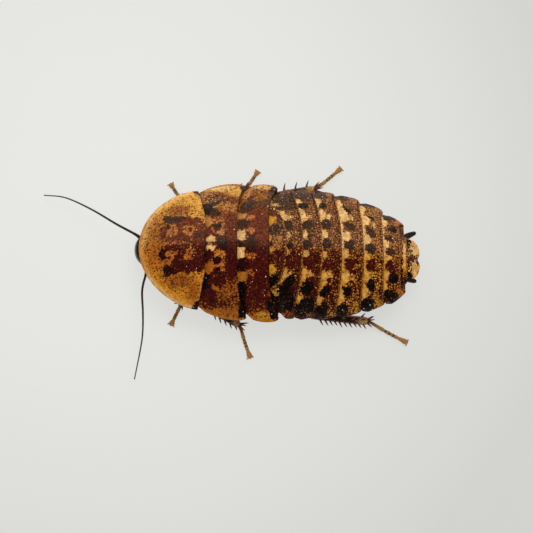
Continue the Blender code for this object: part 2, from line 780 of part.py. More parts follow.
def build_tarsus(leg):
    """The five-jointed foot, flat on the floor under its last joints, with two claws."""
    root, ankle = tibia_line(leg)
    toe = Vector((*leg.toe, 0))
    along = (toe.xy - ankle.xy).normalized().to_3d()
    start = ankle + GAP * (ankle - root).normalized() + TARSUS_RADIUS * along
    length = (toe.xy - start.xy).length
    route, radii = [], []
    for number in range(5):
        low, high = TARSUS_JOINTS[number], TARSUS_JOINTS[number + 1]
        for part, size in ((0.08, 0.82), (0.92, 1.06)):
            share = low + (high - low) * part
            level = SOLE_AXIS_Z + (ANKLE_Z - SOLE_AXIS_Z) * max(0.0, 1.0 - share / SOLE_FROM) ** 1.5
            route.append(start + along * length * share + Vector((0, 0, level - start.z)))
            radii.append(TARSUS_RADIUS * size)
    foot = add_object(f"{leg.name}_tarsus", tube(route, radii, radii, TARSUS_SIDES, floor=0.0), "foot")
    claws = []
    tip = route[-1]
    for side in (1, -1):
        aim = Matrix.Rotation(side * CLAW_SPREAD, 3, "Z") @ along
        hook = [tip - aim * 0.3, tip + aim * CLAW_LENGTH * 0.55 + Vector((0, 0, 0.08))]
        hook.append(tip + aim * CLAW_LENGTH + Vector((0, 0, -0.06)))
        sizes = [0.24, 0.19, 0.06]
        claws.append(add_object("claw", tube(hook, sizes, sizes, 5), "foot"))
    fuse(foot, claws)


def build_legs():
    """All six legs, joint by joint, with the spines' small differences drawn from one seed."""
    draw = random.Random(SPINE_SEED)
    for leg in LEGS:
        build_coxa(leg)
        build_femur(leg)
        build_tibia(leg, draw)
        build_tarsus(leg)


def stand_on_origin():
    """Scales every node to metres, with the middle of the footprint on the origin and the feet at z = 0."""
    corners = [vert.co for obj in bpy.data.objects for vert in obj.data.vertices]
    middle_x = (min(c.x for c in corners) + max(c.x for c in corners)) / 2
    middle_y = (min(c.y for c in corners) + max(c.y for c in corners)) / 2
    place = Matrix.Scale(MM, 4) @ Matrix.Translation((-middle_x, -middle_y, 0))
    for obj in bpy.data.objects:
        obj.data.transform(place)


clear_scene()
build_back()
build_tail_plate()
build_belly()
build_prothorax()
build_thorax_underside()
build_head()
build_feelers()
build_palps()
build_cerci()
build_legs()
stand_on_origin()
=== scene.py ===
"""The looks of a life-size discoid roach nymph: its marked back plates, spiny legs, feelers, floor and light.

Every piece is modelled in millimetres in the body's own frame (+X from head to tail, +Y to the animal's
right, +Z up from the floor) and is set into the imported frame's metres when it is finished.
"""

import math
import random
from collections import namedtuple

import bmesh
import bpy
import numpy as np
from mathutils import Matrix, Vector, noise


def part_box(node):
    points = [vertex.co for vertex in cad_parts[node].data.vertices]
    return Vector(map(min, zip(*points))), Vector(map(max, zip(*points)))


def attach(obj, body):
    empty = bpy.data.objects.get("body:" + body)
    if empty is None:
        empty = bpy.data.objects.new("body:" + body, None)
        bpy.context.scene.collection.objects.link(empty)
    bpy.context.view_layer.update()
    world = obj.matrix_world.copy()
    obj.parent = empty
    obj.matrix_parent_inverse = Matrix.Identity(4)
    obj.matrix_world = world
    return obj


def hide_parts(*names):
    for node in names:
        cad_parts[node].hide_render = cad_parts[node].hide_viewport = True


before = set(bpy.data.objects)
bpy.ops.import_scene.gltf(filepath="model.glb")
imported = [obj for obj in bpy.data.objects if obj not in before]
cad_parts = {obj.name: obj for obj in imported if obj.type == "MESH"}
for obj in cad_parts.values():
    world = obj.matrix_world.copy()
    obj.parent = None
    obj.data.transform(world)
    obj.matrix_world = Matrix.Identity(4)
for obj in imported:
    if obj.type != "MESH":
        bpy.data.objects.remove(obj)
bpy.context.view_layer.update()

bl_info = {
    "name": "Discoid roach nymph",
    "version": (1, 0, 0),
    "blender": (4, 5, 0),
    "location": "View3D > Sidebar > Roach",
    "description": "Builds a discoid roach nymph's plates, legs, feelers and stage on its frame",
    "category": "Object",
}

MM = 0.001

# The pronotum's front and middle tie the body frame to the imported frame
HOOD_FRONT = -20.55
HOOD_LOW, HOOD_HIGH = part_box("pronotum")
PLACE = (
    Matrix.Translation((HOOD_LOW.x - HOOD_FRONT * MM, (HOOD_LOW.y + HOOD_HIGH.y) / 2, 0.0))
    @ Matrix.Scale(MM, 4)
)

# Outline of the body
MARGIN_Z = 4.4
TAIL_DROOP = 0.5
TAIL_DROOP_FROM = 8.0
TAIL_X = 21.6
RIDGE_RISE = 5.2
RIDGE_FALLS_FROM = -3.0
RIDGE_FALL_LENGTH = 26.0
EDGE_HEIGHT = 0.3
HOOD_WIDEST_X = -12.0
HOOD_HALF_WIDTH = 8.95
HOOD_RISE = 4.9
HOOD_FRONT_LIFT = 0.2
HOOD_CENTRE_X = -13.2
HOOD_POWER = 1.6
ABDOMEN_WIDEST_X = 2.5
ABDOMEN_HALF_WIDTH = 9.95
ABDOMEN_TAPER = 18.6
ABDOMEN_LEFT_TRIM = 0.32
BELLY_DEPTH = 1.8
# How much the front of each tergite fills out its left margin, where the outline runs on without steps
LEFT_FILL = {"tergite_3": 0.3, "tergite_4": 0.35, "tergite_5": 0.4, "tergite_6": 0.55, "tergite_7": 0.72}
LEAST_SHOW = 0.3
HIDDEN_DEPTH = 0.9
HOOK_POWER = 12

# The hood's mesh: how far its rear corners are rounded, its length round and outwards, the hole in its
# middle, and its folded rim as reach and drop
HOOD_CORNER_TURN = 0.12
HOOD_OUTLINE = 56.0
HOOD_REACH = 9.0
HOOD_HOLE = 0.004
HOOD_FOLD = [(0.994, 0.02), (1.0, 0.1), (1.0, 0.2), (0.994, 0.28), (0.97, 0.33)]

# How far a plate reaches under the one before (the last ones less), how much deeper two of them sit, the
# radius of a folded margin, and how much of a sheet's width lies above the fold and in it
PLATE_LAP = 0.8
TAIL_LAP = 0.5
EXTRA_TUCK = {"mesonotum": 0.12, "tergite_2": 0.16}
FOLD_RADIUS = 0.14
TOP_SHARE = 0.92
FOLD_SHARE = 0.028
# The same for the belly plates, and the walls of the thinner plates
BELLY_TOP_SHARE = 0.94
BELLY_LAP = 0.45
TAIL_WALL = 0.22
BELLY_WALL = 0.12

# The seed of the ragged edges of the marks, which would otherwise change with the time of the run
RAGGED_SEED = 1

# Granules along the rear edges of the tergites
GRANULE_SEED = 5
GRANULE_SPACING = 0.42
GRANULE_ARC = 1.25
GRANULE_RADII = (0.12, 0.15)
GRANULE_COLOUR = (0.045, 0.008, 0.003)

# A plate's rear edge: x on the midline, how far its sides trail, the hook of its rear corners, its arch
Plate = namedtuple("Plate", "name rear sweep hook arch")
PLATES = [
    Plate("pronotum", -11.35, -0.5, 0.0, 1.0),
    Plate("mesonotum", -6.85, 2.1, 0.0, 1.0),
    Plate("metanotum", -2.2, 2.25, 0.0, 1.0),
    Plate("tergite_1", 0.4, -5.3, 0.0, 0.85),
    Plate("tergite_2", 2.85, -1.2, 0.8, 0.85),
    Plate("tergite_3", 5.75, -0.8, 0.6, 0.85),
    Plate("tergite_4", 8.75, -0.4, 0.4, 0.85),
    Plate("tergite_5", 12.2, 0.0, 0.35, 0.85),
    Plate("tergite_6", 15.45, 0.3, 0.45, 0.85),
    Plate("tergite_7", 18.3, 0.3, 0.85, 0.85),
    Plate("tergite_8", 19.6, 0.0, 0.45, 0.85),
]
# How much wider than the outline a tergite grows towards its rear corners
FLARES = {"tergite_4": 0.12, "tergite_5": 0.22, "tergite_6": 0.36, "tergite_7": 0.8, "tergite_8": 0.5}
POINTED = ("tergite_7", "tergite_8")
NUMBER = {plate.name: number for number, plate in enumerate(PLATES)}
FIRST_TERGITE = NUMBER["tergite_1"]
# Half width of the two thorax plates: the most, how fast it falls off, and where it is widest
THORAX_WIDTHS = {1: (10.35, 0.047, -6.0), 2: (10.5, 0.08, -1.8)}
STERNITE_REARS = [3.0, 5.9, 8.9, 12.2, 15.3, 17.6, 20.4]
THORAX_REAR = -0.6

# A mark on a plate: its tone, how much dark pigment shows there, how far behind the plate before it lies (on
# the pronotum, x itself), its place across, its half sizes, how far it leans across as it goes back, and how
# soft its edge is
Mark = namedtuple("Mark", "tone level behind across length width lean soft", defaults=[0.0, 0.5])
DARK_TONES = ("maroon", "brown", "umber", "ink", "spot", "deep")

MARKS = {
    "pronotum": [
        ("amber", 0.12, -16.9, 0.3, 2.9, 4.3, 0, 1), ("amber", 0.26, -15, 5.2, 1.7, 0.9, 0, 1),
        ("amber", 0.12, -12.8, -6.7, 0.9, 1.3, 0, 1.4), ("amber", 0.24, -14.9, -5.3, 1.9, 1, 0, 1.2),
        ("maroon", 0.76, -14.4, 0, 2.7, 3.9, 0, 0.4), ("maroon", 0.88, -17.3, 1.6, 0.5, 1),
        ("umber", 0.86, -17.25, -1.5, 0.6, 0.8), ("ember", 0.15, -16.05, 2, 0.7, 1),
        ("umber", 0.78, -16.55, 2.42, 0.4, 0.4), ("ember", 0.3, -16.7, 1.45, 0.4, 0.34),
        ("ember", 0.16, -13.75, 1.95, 0.85, 1.05), ("maroon", 0.85, -13.45, 1.97, 0.3, 0.22),
        ("ember", 0.36, -15.7, 0, 1.8, 0.34), ("ember", 0.16, -16.2, -1.55, 0.9, 0.42),
        ("ember", 0.16, -16.1, -2.4, 0.8, 0.42, 1.2), ("ember", 0.16, -13.6, -2, 0.82, 1.1),
        ("maroon", 0.88, -13.3, -2.05, 0.2, 0.32), ("umber", 0.97, -16.6, 3.8, 0.5, 0.55),
        ("umber", 0.94, -15.3, 3.6, 1.6, 0.55), ("maroon", 0.88, -13.4, 3.2, 1.5, 0.7),
        ("umber", 1, -16.75, -3.9, 0.5, 0.85), ("umber", 0.92, -15.7, -3.85, 0.8, 0.45),
        ("maroon", 0.97, -13.6, -3.45, 2.1, 0.8), ("maroon", 0.8, -11.95, -0.4, 1.1, 3.6),
        ("umber", 1, -11.4, -0.6, 0.22, 2.2), ("umber", 0.86, -12.4, 0.9, 0.5, 0.5),
        ("ink", 1, -12.15, -8.75, 0.55, 0.7), ("umber", 0.95, -12.05, 8.7, 0.5, 0.55),
    ],
    "mesonotum": [
        ("maroon", 0.84, 2.6, -0.4, 2.9, 5), ("tan", 0.3, 0.9, 7.6, 1.2, 1.1),
        ("brown", 0.56, 2.9, 7.3, 2.4, 0.9, 0, 0.9), ("umber", 0.74, 1.5, 6.2, 1.2, 0.6, 0.5),
        ("cream", 0.03, 3, 9.5, 2.9, 0.6, 0, 1), ("honey", 0.05, 5.2, 8.6, 1.1, 1, 0, 0.9),
        ("brown", 0.62, 2.6, -7.9, 2.6, 1.5, 0, 0.9), ("maroon", 0.82, 1.5, -7.2, 1.5, 1.2),
        ("bronze", 0.5, 4.2, -8, 1.5, 1.5, 0, 1.3), ("bronze", 0.12, 3.4, -9.6, 2.4, 0.8, 0, 1.4),
        ("tan", 0.3, 3.7, 5.65, 1, 0.7), ("bronze", 0.34, 3.5, -6.4, 1.3, 1.3, 0, 1.1),
        ("ember", 0.46, 1.75, 2.5, 1.15, 1.5), ("ember", 0.46, 1.75, -2.6, 1.25, 1.5),
        ("cream", 0.05, 0.78, 0.5, 0.72, 0.5, 0, 0.8), ("cream", 0.05, 0.76, -0.75, 0.72, 0.5, 0, 0.8),
        ("tan", 0.12, 0.45, 3.3, 0.65, 0.68), ("ember", 0.3, 2.2, 3.05, 0.65, 0.64),
        ("tan", 0.3, 2.15, 1.5, 0.6, 0.5), ("tan", 0.3, 2.07, -1.65, 0.7, 0.57),
        ("ember", 0.3, 1.7, -3.43, 1.2, 0.75), ("bronze", 0.15, 0.4, -3.6, 0.6, 0.85, 0, 0.8),
        ("umber", 0.9, 1.66, 2.47, 0.68, 0.46), ("umber", 0.9, 1.65, -2.6, 0.5, 0.53),
        ("umber", 0.95, 1.78, -4.08, 0.55, 0.43), ("maroon", 0.95, 0.55, -1.82, 0.58, 0.6),
        ("umber", 0.92, 2.5, -0.1, 0.85, 1.1), ("maroon", 0.9, 3.9, -0.3, 0.7, 5.2),
        ("ink", 1, 0.5, 5.33, 0.85, 0.95), ("umber", 0.92, 1.54, 4.7, 0.6, 0.7),
        ("ink", 1, 0.35, -5.5, 0.7, 1.25), ("maroon", 1, 1.9, -5.5, 1.3, 0.6),
        ("maroon", 0.95, 0.9, -7.25, 0.9, 0.85), ("tan", 0.05, 2.1, 6.1, 0.9, 0.2, 0.5),
        ("bronze", 0.1, 1.8, -6.33, 0.85, 0.3, -0.6, 0.8), ("ink", 1, 6.2, -9, 0.5, 1.5),
        ("umber", 0.98, 6.35, 8.9, 0.35, 1.4),
    ],
    "metanotum": [
        ("maroon", 0.82, 3, -0.2, 2.9, 7.2), ("brown", 0.76, 3, 7.4, 2, 1.7),
        ("umber", 0.85, 1.9, 6.7, 1.2, 0.8, 0.8), ("tan", 0.15, 0.7, 8.4, 0.6, 1, 0.4),
        ("maroon", 0.84, 2.2, -8.3, 2.3, 1.7), ("cream", 0.03, 2.7, 9.9, 1.7, 0.55, 0, 1),
        ("amber", 0.34, 3.1, 8.2, 1.2, 1.2, 0, 1.2), ("bronze", 0.6, 2.5, -9.1, 1.8, 1.1, 0, 1.2),
        ("bronze", 0.2, 2.5, -9.7, 1.6, 0.7, 0, 1.2), ("gold", 0.1, 2.8, -9.8, 1, 0.5, 0, 1.4),
        ("cream", 0, 0.63, 1.25, 0.66, 0.9, 0, 0.7), ("cream", 0, 0.6, -1.43, 0.68, 0.96, 0, 0.7),
        ("tan", 0.06, 0.55, 4.47, 0.7, 0.7, 0, 0.8), ("tan", 0.08, 0.61, -4.63, 0.78, 0.85, 0, 0.8),
        ("ember", 0.35, 1.9, 4, 0.72, 0.57), ("ember", 0.38, 1.98, 1.88, 0.79, 0.43),
        ("ember", 0.35, 1.97, -1.94, 0.79, 0.53), ("ember", 0.35, 1.91, -3.92, 0.55, 0.53),
        ("umber", 0.95, 1, 3.05, 0.96, 0.72), ("umber", 0.92, 1.96, -0.03, 0.79, 1.2),
        ("umber", 0.88, 0.78, -0.08, 0.65, 0.42), ("umber", 1, 0.79, -3.12, 0.78, 0.92),
        ("umber", 1, 1.1, 5.8, 0.95, 0.95), ("ink", 1, 0.4, -6.3, 0.65, 1.1),
        ("ink", 0.95, 0.2, -8.3, 0.3, 1.3), ("umber", 0.98, 4.45, 9.3, 0.38, 1),
        ("ink", 1, 4.25, -9.1, 0.45, 1.3),
    ],
    "tergite_1": [
        ("gold", 0.04, 0.4, 3.95, 0.65, 0.85), ("umber", 0.82, 0.9, 2.3, 0.85, 0.95),
        ("tan", 0.42, 1.3, 0.3, 1.2, 1.2), ("umber", 0.9, 0.4, 0.2, 0.25, 0.35),
        ("gold", 0.2, 0.25, 1.1, 0.2, 0.4), ("gold", 0.25, 0.3, -0.8, 0.25, 0.5),
        ("maroon", 0.86, 1.2, -2.1, 1.1, 1), ("gold", 0.02, 0.45, -3.75, 0.5, 1.05),
        ("ink", 1, 0.7, -5.5, 0.9, 1.3), ("brown", 0.88, 0.9, 5.5, 0.9, 1.1),
    ],
    "tergite_2": [
        ("umber", 0.86, 1.9, 7.4, 1.9, 1.8), ("ink", 1, 1.5, -7.6, 1.8, 1.4),
        ("pale", 0.05, 0.42, 4.7, 0.43, 0.85), ("pale", 0.2, 0.25, 1.55, 0.3, 0.5),
        ("pale", 0.15, 0.25, -1, 0.33, 0.6), ("pale", 0.05, 0.3, -4.15, 0.36, 1.3),
        ("pale", 0.05, 0.6, -6.5, 0.45, 0.6), ("pale", 0.05, 0.5, 6.7, 0.45, 0.35),
        ("pale", 0.3, 0.95, -4, 0.45, 0.42), ("pale", 0.35, 1.2, 4.3, 0.5, 0.35),
        ("spot", 1, 0.67, 3, 0.6, 0.75), ("spot", 1, 0.42, 0.15, 0.42, 0.5),
        ("deep", 0.93, 1.1, -2.4, 1.1, 1), ("ink", 1, 1.3, -5.6, 0.9, 1.2),
        ("amber", 0.5, 1.5, -9.4, 1.3, 0.4),
    ],
    "tergite_3": [
        ("umber", 0.86, 1.3, 8.7, 1.5, 1), ("ink", 0.98, 1.4, -8.4, 1.6, 1.3),
        ("pale", 0.03, 0.42, 5, 0.45, 1.2), ("pale", 0.1, 0.42, 1.85, 0.36, 0.6),
        ("pale", 0.1, 0.4, -1.1, 0.36, 0.6), ("pale", 0.03, 0.34, -4.2, 0.44, 1.4),
        ("pale", 0.25, 1.13, -4, 0.45, 0.55), ("pale", 0.05, 0.34, -7.1, 0.45, 0.9),
        ("pale", 0.05, 0.34, 7.2, 0.43, 0.6), ("pale", 0.35, 1.3, 4.6, 0.5, 0.4),
        ("spot", 1, 0.98, 3.3, 0.85, 0.72), ("spot", 1, 0.74, 0.4, 0.66, 0.7),
        ("deep", 0.96, 1, -2.4, 0.9, 0.76), ("ink", 0.92, 0.85, 6.6, 0.8, 0.52),
        ("ink", 1, 1.05, -5.95, 1, 0.9), ("tan", 0.45, 2.2, -9.3, 0.4, 0.4),
    ],
    "tergite_4": [
        ("umber", 0.88, 0.9, 8.9, 1.1, 0.8), ("ink", 0.97, 0.9, -8.6, 1.1, 1),
        ("pale", 0.03, 0.48, 5.3, 0.5, 1), ("pale", 0.05, 0.42, 1.95, 0.42, 0.68),
        ("pale", 0.06, 0.4, -1.15, 0.43, 0.68), ("pale", 0.03, 0.44, -4.45, 0.43, 1.35),
        ("pale", 0.2, 1.28, -4.3, 0.45, 1), ("maroon", 1, 1.3, -4.75, 0.3, 0.32),
        ("pale", 0.05, 0.34, -7.2, 0.42, 0.95), ("pale", 0.05, 0.34, 7.5, 0.43, 0.62),
        ("pale", 0.25, 1.3, 4.85, 0.32, 0.45), ("spot", 1, 0.85, 3.55, 0.66, 0.7),
        ("spot", 1, 0.72, 0.53, 0.66, 0.72), ("deep", 0.97, 0.75, -2.55, 0.8, 0.8),
        ("ink", 0.96, 0.86, 6.85, 0.6, 0.5), ("ink", 1, 0.85, -6.25, 0.78, 0.72),
        ("tan", 0.35, 2.4, 9.2, 0.6, 0.4), ("gold", 0.5, 2.4, -8.8, 0.7, 0.8),
    ],
    "tergite_5": [
        ("pale", 0.02, 0.45, 7.6, 0.5, 0.6), ("pale", 0.02, 0.8, 5.5, 0.72, 1.2),
        ("pale", 0.03, 0.72, 2, 0.68, 0.75), ("pale", 0.04, 0.55, -0.87, 0.55, 0.68),
        ("pale", 0.03, 0.6, -4.1, 0.58, 1.1), ("pale", 0.03, 0.4, -6.8, 0.55, 1),
        ("pale", 0.3, 1.9, 5.15, 0.4, 0.5), ("pale", 0.3, 1.66, -4.1, 0.45, 0.5),
        ("spot", 1, 1.1, 8.8, 0.95, 0.55), ("ink", 0.98, 1.36, 6.5, 0.5, 0.38, -0.5),
        ("spot", 1, 1.37, 3.5, 0.78, 0.6, -0.55), ("spot", 1, 1.17, 0.62, 0.8, 0.74),
        ("deep", 0.98, 1.13, -2.4, 0.66, 0.95), ("ink", 1, 1.2, -5.95, 0.68, 0.78),
        ("ink", 1, 0.8, -8.5, 0.95, 0.9), ("tan", 0.4, 2.9, 8.4, 0.7, 0.5),
        ("gold", 0.4, 2.85, -8, 0.7, 0.85),
    ],
    "tergite_6": [
        ("pale", 0.02, 0.38, 6.8, 0.44, 0.7), ("pale", 0.02, 0.73, 5, 0.62, 0.9),
        ("pale", 0.02, 0.6, 1.8, 0.62, 0.68), ("pale", 0.03, 0.5, -0.9, 0.58, 0.6),
        ("pale", 0.02, 0.55, -3.55, 0.55, 0.95), ("pale", 0.02, 0.38, -6, 0.52, 0.85),
        ("pale", 0.3, 1.55, -3.45, 0.42, 0.45), ("pale", 0.35, 1.9, 4.2, 0.4, 0.4),
        ("spot", 1, 1.2, 7.9, 1.05, 0.55), ("ink", 0.98, 1.49, 5.55, 0.58, 0.3, -0.7),
        ("spot", 1, 1.42, 2.95, 0.76, 0.64, -0.5), ("spot", 1, 1.2, 0.5, 0.78, 0.72),
        ("deep", 0.98, 1.18, -2.15, 0.64, 0.8), ("ink", 1, 1.3, -4.95, 0.58, 0.76),
        ("ink", 1, 1.05, -7.5, 1, 0.9), ("tan", 0.35, 2.85, 7.1, 0.6, 0.5),
        ("gold", 0.35, 2.8, -7, 0.65, 0.55),
    ],
    "tergite_7": [
        ("pale", 0.02, 0.45, 5.2, 0.48, 0.9), ("pale", 0.03, 0.62, 1.5, 0.5, 0.6),
        ("pale", 0.03, 0.7, -0.75, 0.58, 0.5), ("pale", 0.03, 0.55, -3.15, 0.52, 0.8),
        ("pale", 0.03, 0.45, -5.2, 0.38, 1), ("spot", 1, 1.1, 6.2, 0.8, 0.6),
        ("spot", 0.98, 1.04, 2.35, 0.55, 0.5), ("spot", 1, 1.28, 0.35, 0.66, 0.56),
        ("deep", 0.98, 1.05, -1.8, 0.62, 0.67), ("ink", 0.98, 1.6, -3.5, 0.82, 0.78),
        ("ink", 1, 1, -6, 0.85, 0.8), ("ember", 0.16, 2.5, 5.5, 0.6, 0.5),
        ("ember", 0.14, 2.55, -5.45, 0.6, 0.5), ("ink", 0.9, 1.85, 4.05, 0.75, 0.57),
    ],
    "tergite_8": [
        ("pale", 0.14, 0.72, -0.1, 0.32, 2.6), ("ink", 0.95, 0.55, 3.9, 0.34, 0.65),
        ("ink", 0.97, 0.4, -4.05, 0.3, 0.5),
    ],
}
# How strongly the coarse noise, the fine noise and the net of cells break up the pigment
LACE_COARSE = 0.7
LACE_FINE = 1.7
LACE_NET = 0.8
# Colour of the painted glints, tiny highlight dots painted into the shell's colour
GLINT = (0.95, 0.83, 0.66)
# Each tergite: the pigment over its right and left halves, the left's higher share being painted shade,
# and the breadth of the pale band along its front
Ground = namedtuple("Ground", "right left band")
TERGITE_GROUND = {
    "tergite_1": Ground(0.70, 0.86, 0.0),
    "tergite_2": Ground(0.68, 0.84, 0.06),
    "tergite_3": Ground(0.65, 0.82, 0.10),
    "tergite_4": Ground(0.62, 0.78, 0.14),
    "tergite_5": Ground(0.55, 0.66, 0.36),
    "tergite_6": Ground(0.44, 0.56, 0.42),
    "tergite_7": Ground(0.52, 0.72, 0.36),
    "tergite_8": Ground(0.70, 0.82, 0.05),
}

# Head: level, middle, half length and half width of each cross-section from the mouth up
Slice = namedtuple("Slice", "z x half_length half_width")
HEAD_SLICES = [
    Slice(0.9, -17.7, 0.35, 0.6),
    Slice(1.5, -18.0, 0.9, 1.25),
    Slice(2.3, -18.7, 1.6, 1.95),
    Slice(3.1, -19.2, 1.85, 2.4),
    Slice(3.8, -19.15, 1.75, 2.45),
    Slice(4.45, -18.8, 1.25, 2.15),
    Slice(4.85, -18.6, 0.7, 1.4),
]
HEAD_GROOVES = ((1.75, 0.07), (1.3, 0.06))
EYE_CENTRE = Vector((-19.0, 2.25, 3.75))
EYE_RADII = Vector((0.85, 0.75, 0.75))

SIDES = (("right", 1), ("left", -1))
FEELER_SOCKETS = [Vector((-20.7, 2.2, 3.45)), Vector((-20.7, -2.2, 3.45))]
FEELER_RING = 0.3
FEELER_ROUTES = {
    "right": [
        (-20.0, 1.6, 3.3), (-21.0, 2.25, 3.55), (-23.75, 3.71, 3.4), (-27.46, 5.98, 2.8),
        (-31.18, 7.78, 2.0), (-34.33, 8.2, 1.4),
    ],
    "left": [
        (-19.9, -1.7, 3.0), (-19.35, -2.9, 2.9), (-19.35, -3.8, 3.05), (-19.65, -5.0, 3.1),
        (-19.8, -6.45, 3.0), (-19.6, -9.21, 2.6), (-19.55, -11.96, 2.2), (-19.76, -14.16, 1.9),
        (-20.55, -18.82, 1.2),
    ],
}
PALP_ROUTE = [(-19.2, 2.15, 1.9), (-18.9, 2.9, 1.6), (-18.0, 3.3, 1.1), (-16.9, 3.2, 0.8)]
LIP_PALP_ROUTE = [(-17.9, 0.75, 1.1), (-17.5, 1.2, 0.85), (-17.0, 1.35, 0.65)]
CERCUS_ROUTES = {
    "right": [(18.9, 3.0, 3.8), (20.3, 3.75, 3.8), (21.45, 4.25, 3.9)],
    "left": [(18.9, -2.6, 3.8), (20.2, -3.05, 3.8), (21.3, -3.4, 3.9)],
}

# Legs, each joint's place seen from above, and the thorns of its tibia: how many outside and inside, their
# length and their lean
Leg = namedtuple("Leg", "name coxa_root trochanter knee ankle toe outside inside thorn lean")
LEGS = [
    Leg("front_left", (-15.6, -3.4), (-13.3, -0.9), (-11.2, -4.4), (-13.75, -7.25), (-15.1, -10.2),
        3, 2, 0.6, 55),
    Leg("front_right", (-15.6, 3.4), (-13.3, 1.3), (-11.2, 5.0), (-13.8, 8.5), (-15.35, 11.0), 3, 2, 0.6, 55),
    Leg("mid_left", (-10.6, -5.2), (-6.6, -1.7), (-10.7, -7.5), (-5.1, -10.3), (-3.5, -14.75),
        5, 3, 0.85, 58),
    Leg("mid_right", (-10.6, 5.2), (-6.6, 1.7), (-10.3, 8.0), (-4.1, 10.75), (-2.3, 13.65), 4, 3, 0.8, 62),
    Leg("hind_left", (-5.2, -5.4), (-2.0, -1.5), (4.6, -8.5), (14.5, -9.1), (20.35, -11.9), 10, 3, 0.8, 66),
    Leg("hind_right", (-5.2, 5.4), (-2.0, 1.5), (-2.7, 9.15), (6.6, 11.2), (10.65, 14.85), 4, 4, 1.15, 78),
]
COXA_ROOT_Z = 3.3
COXA_TIP_Z = 2.45
COXA_HALF_HEIGHT = 0.75
FEMUR_Z = 1.28
FEMUR_HALF_HEIGHT = 0.62
TIBIA_Z = 1.25
ANKLE_Z = 1.05
TIBIA_RADIUS = 0.54
HIND_TIBIA_GROWTH = 1.14
KNEE_CLEARANCE = 1.0
TARSUS_RADIUS = 0.29
TARSUS_JOINTS = [0.0, 0.4, 0.56, 0.67, 0.76, 1.0]
SOLE_FROM = 0.62
TARSUS_FLARES_FROM = 0.78
LEG_SEED = 11
THORN_RADIUS = 0.2
CROWN_TURNS = (-12, 40, 80, 125, 178)
CROWN_LEAN = math.radians(42)
CLAW_SPREAD = math.radians(58)
# A limb's layers hold each point's place along it and round it, and its kind: 0 is skin
LIMB_LAYERS = ("along", "turn", "kind")
SPINE_KIND = 1.0
SOLE_KIND = 0.7

# The camera stands on the photograph's line of sight: ahead of the head and to the animal's left
CAMERA_PLACE = Vector((-39.66, -55.0, 213.3))
CAMERA_LEAN_AHEAD = math.radians(10)
CAMERA_LEAN_LEFT = math.radians(14)
CAMERA_ROLL = math.radians(2.21)
IMAGE_WIDTH_MM = 78.88
SENSOR_MM = 36.0
CAMERA_DISTANCE = 220.0

# The floor's own painted glow, a pool of light that lifts the shadows: its strength under the animal's
# middle, how it changes for each millimetre back and to the right and for each square millimetre of distance,
# and its limits
FLOOR_GLOW = 0.627
FLOOR_GLOW_BACK = -0.0010
FLOOR_GLOW_RIGHT = 0.0009
FLOOR_GLOW_AWAY = -0.00003
FLOOR_GLOW_LEAST = 0.49
FLOOR_GLOW_MOST = 0.70


# Settings that a user can change in the sidebar


def colour(name, description, default):
    """A colour setting."""
    return bpy.props.FloatVectorProperty(
        name=name, description=description, default=default, subtype="COLOR", min=0.0, max=1.0
    )


def number(name, description, default, low, high, subtype="NONE"):
    """A size or a power."""
    return bpy.props.FloatProperty(
        name=name, description=description, default=default, min=low, max=high, subtype=subtype
    )


class RoachShell(bpy.types.PropertyGroup):
    """Sizes and colours of the back and belly plates."""

    spacing: number("Mesh spacing", "Distance between points of a plate, in millimetres", 0.12, 0.06, 1.0)
    thickness: number("Thickness", "Thickness of a plate, in millimetres", 0.13, 0.05, 0.3)
    tuck: number("Tuck", "Depth of a plate's front under the one before, in millimetres", 0.3, 0.1, 0.6)
    honey: colour("Honey", "Ground colour of the pronotum and the side flanges", (0.67, 0.305, 0.040))
    cream: colour("Cream", "Pale blocks, bands and rims", (0.76, 0.44, 0.15))
    # Gold is also the cream's shaded copy on the left half: partly its own colour and partly painted shade
    gold: colour("Gold", "Golden tongues of the left half", (0.60, 0.262, 0.016))
    tan: colour("Tan", "Tan patches", (0.46, 0.19, 0.045))
    bronze: colour("Bronze", "Golden brown of the left flanges", (0.38, 0.105, 0.004))
    amber: colour("Amber", "Orange-brown zones", (0.36, 0.115, 0.013))
    ember: colour("Ember", "Orange windows in the dark mask", (0.46, 0.155, 0.033))
    maroon: colour("Maroon", "Dark red-brown fields", (0.132, 0.027, 0.009))
    brown: colour("Brown", "Mottling of the tergites", (0.10, 0.031, 0.012))
    umber: colour("Umber", "Dark spots", (0.052, 0.023, 0.011))
    ink: colour("Ink", "Blackest blotches", (0.0065, 0.003, 0.0022))
    freckle: colour("Freckle", "Small dots on the pale zones", (0.075, 0.016, 0.004))
    # The lit copy of ink on the right half: ink lightened by painted sheen
    soot: colour("Lit ink", "Blackest blotches of the lit right half", (0.023, 0.012, 0.007))
    belly: colour("Belly", "Ground colour of the sternites", (0.26, 0.09, 0.018))


class RoachLimbs(bpy.types.PropertyGroup):
    """Sizes and colours of the legs, feelers and head."""

    sides: bpy.props.IntProperty(name="Sides", description="Points round a leg", default=16, min=6, max=32)
    spine_length: number("Spine length", "Length of a spine beyond the skin, in millimetres", 1.0, 0.2, 2.0)
    dark: colour("Dark leg", "Dark red-brown of the tibiae", (0.045, 0.010, 0.004))
    spine: colour("Spine", "Red-brown of the spines", (0.135, 0.028, 0.011))
    pale: colour("Pale leg", "Tan patch at the end of a tibia", (0.42, 0.22, 0.06))
    honey: colour("Foot", "Honey ground of the tarsi", (0.42, 0.205, 0.036))
    band: colour("Foot band", "Dark bands of the tarsi", (0.085, 0.034, 0.007))
    claw: colour("Claw", "Tawny claws and pads", (0.40, 0.185, 0.062))
    feeler: colour("Feeler", "Dark root of a feeler", (0.030, 0.020, 0.010))
    feeler_tip: colour("Feeler tip", "Greyer end of a feeler", (0.085, 0.066, 0.050))
    head: colour("Head", "Black of the head", (0.010, 0.008, 0.007))


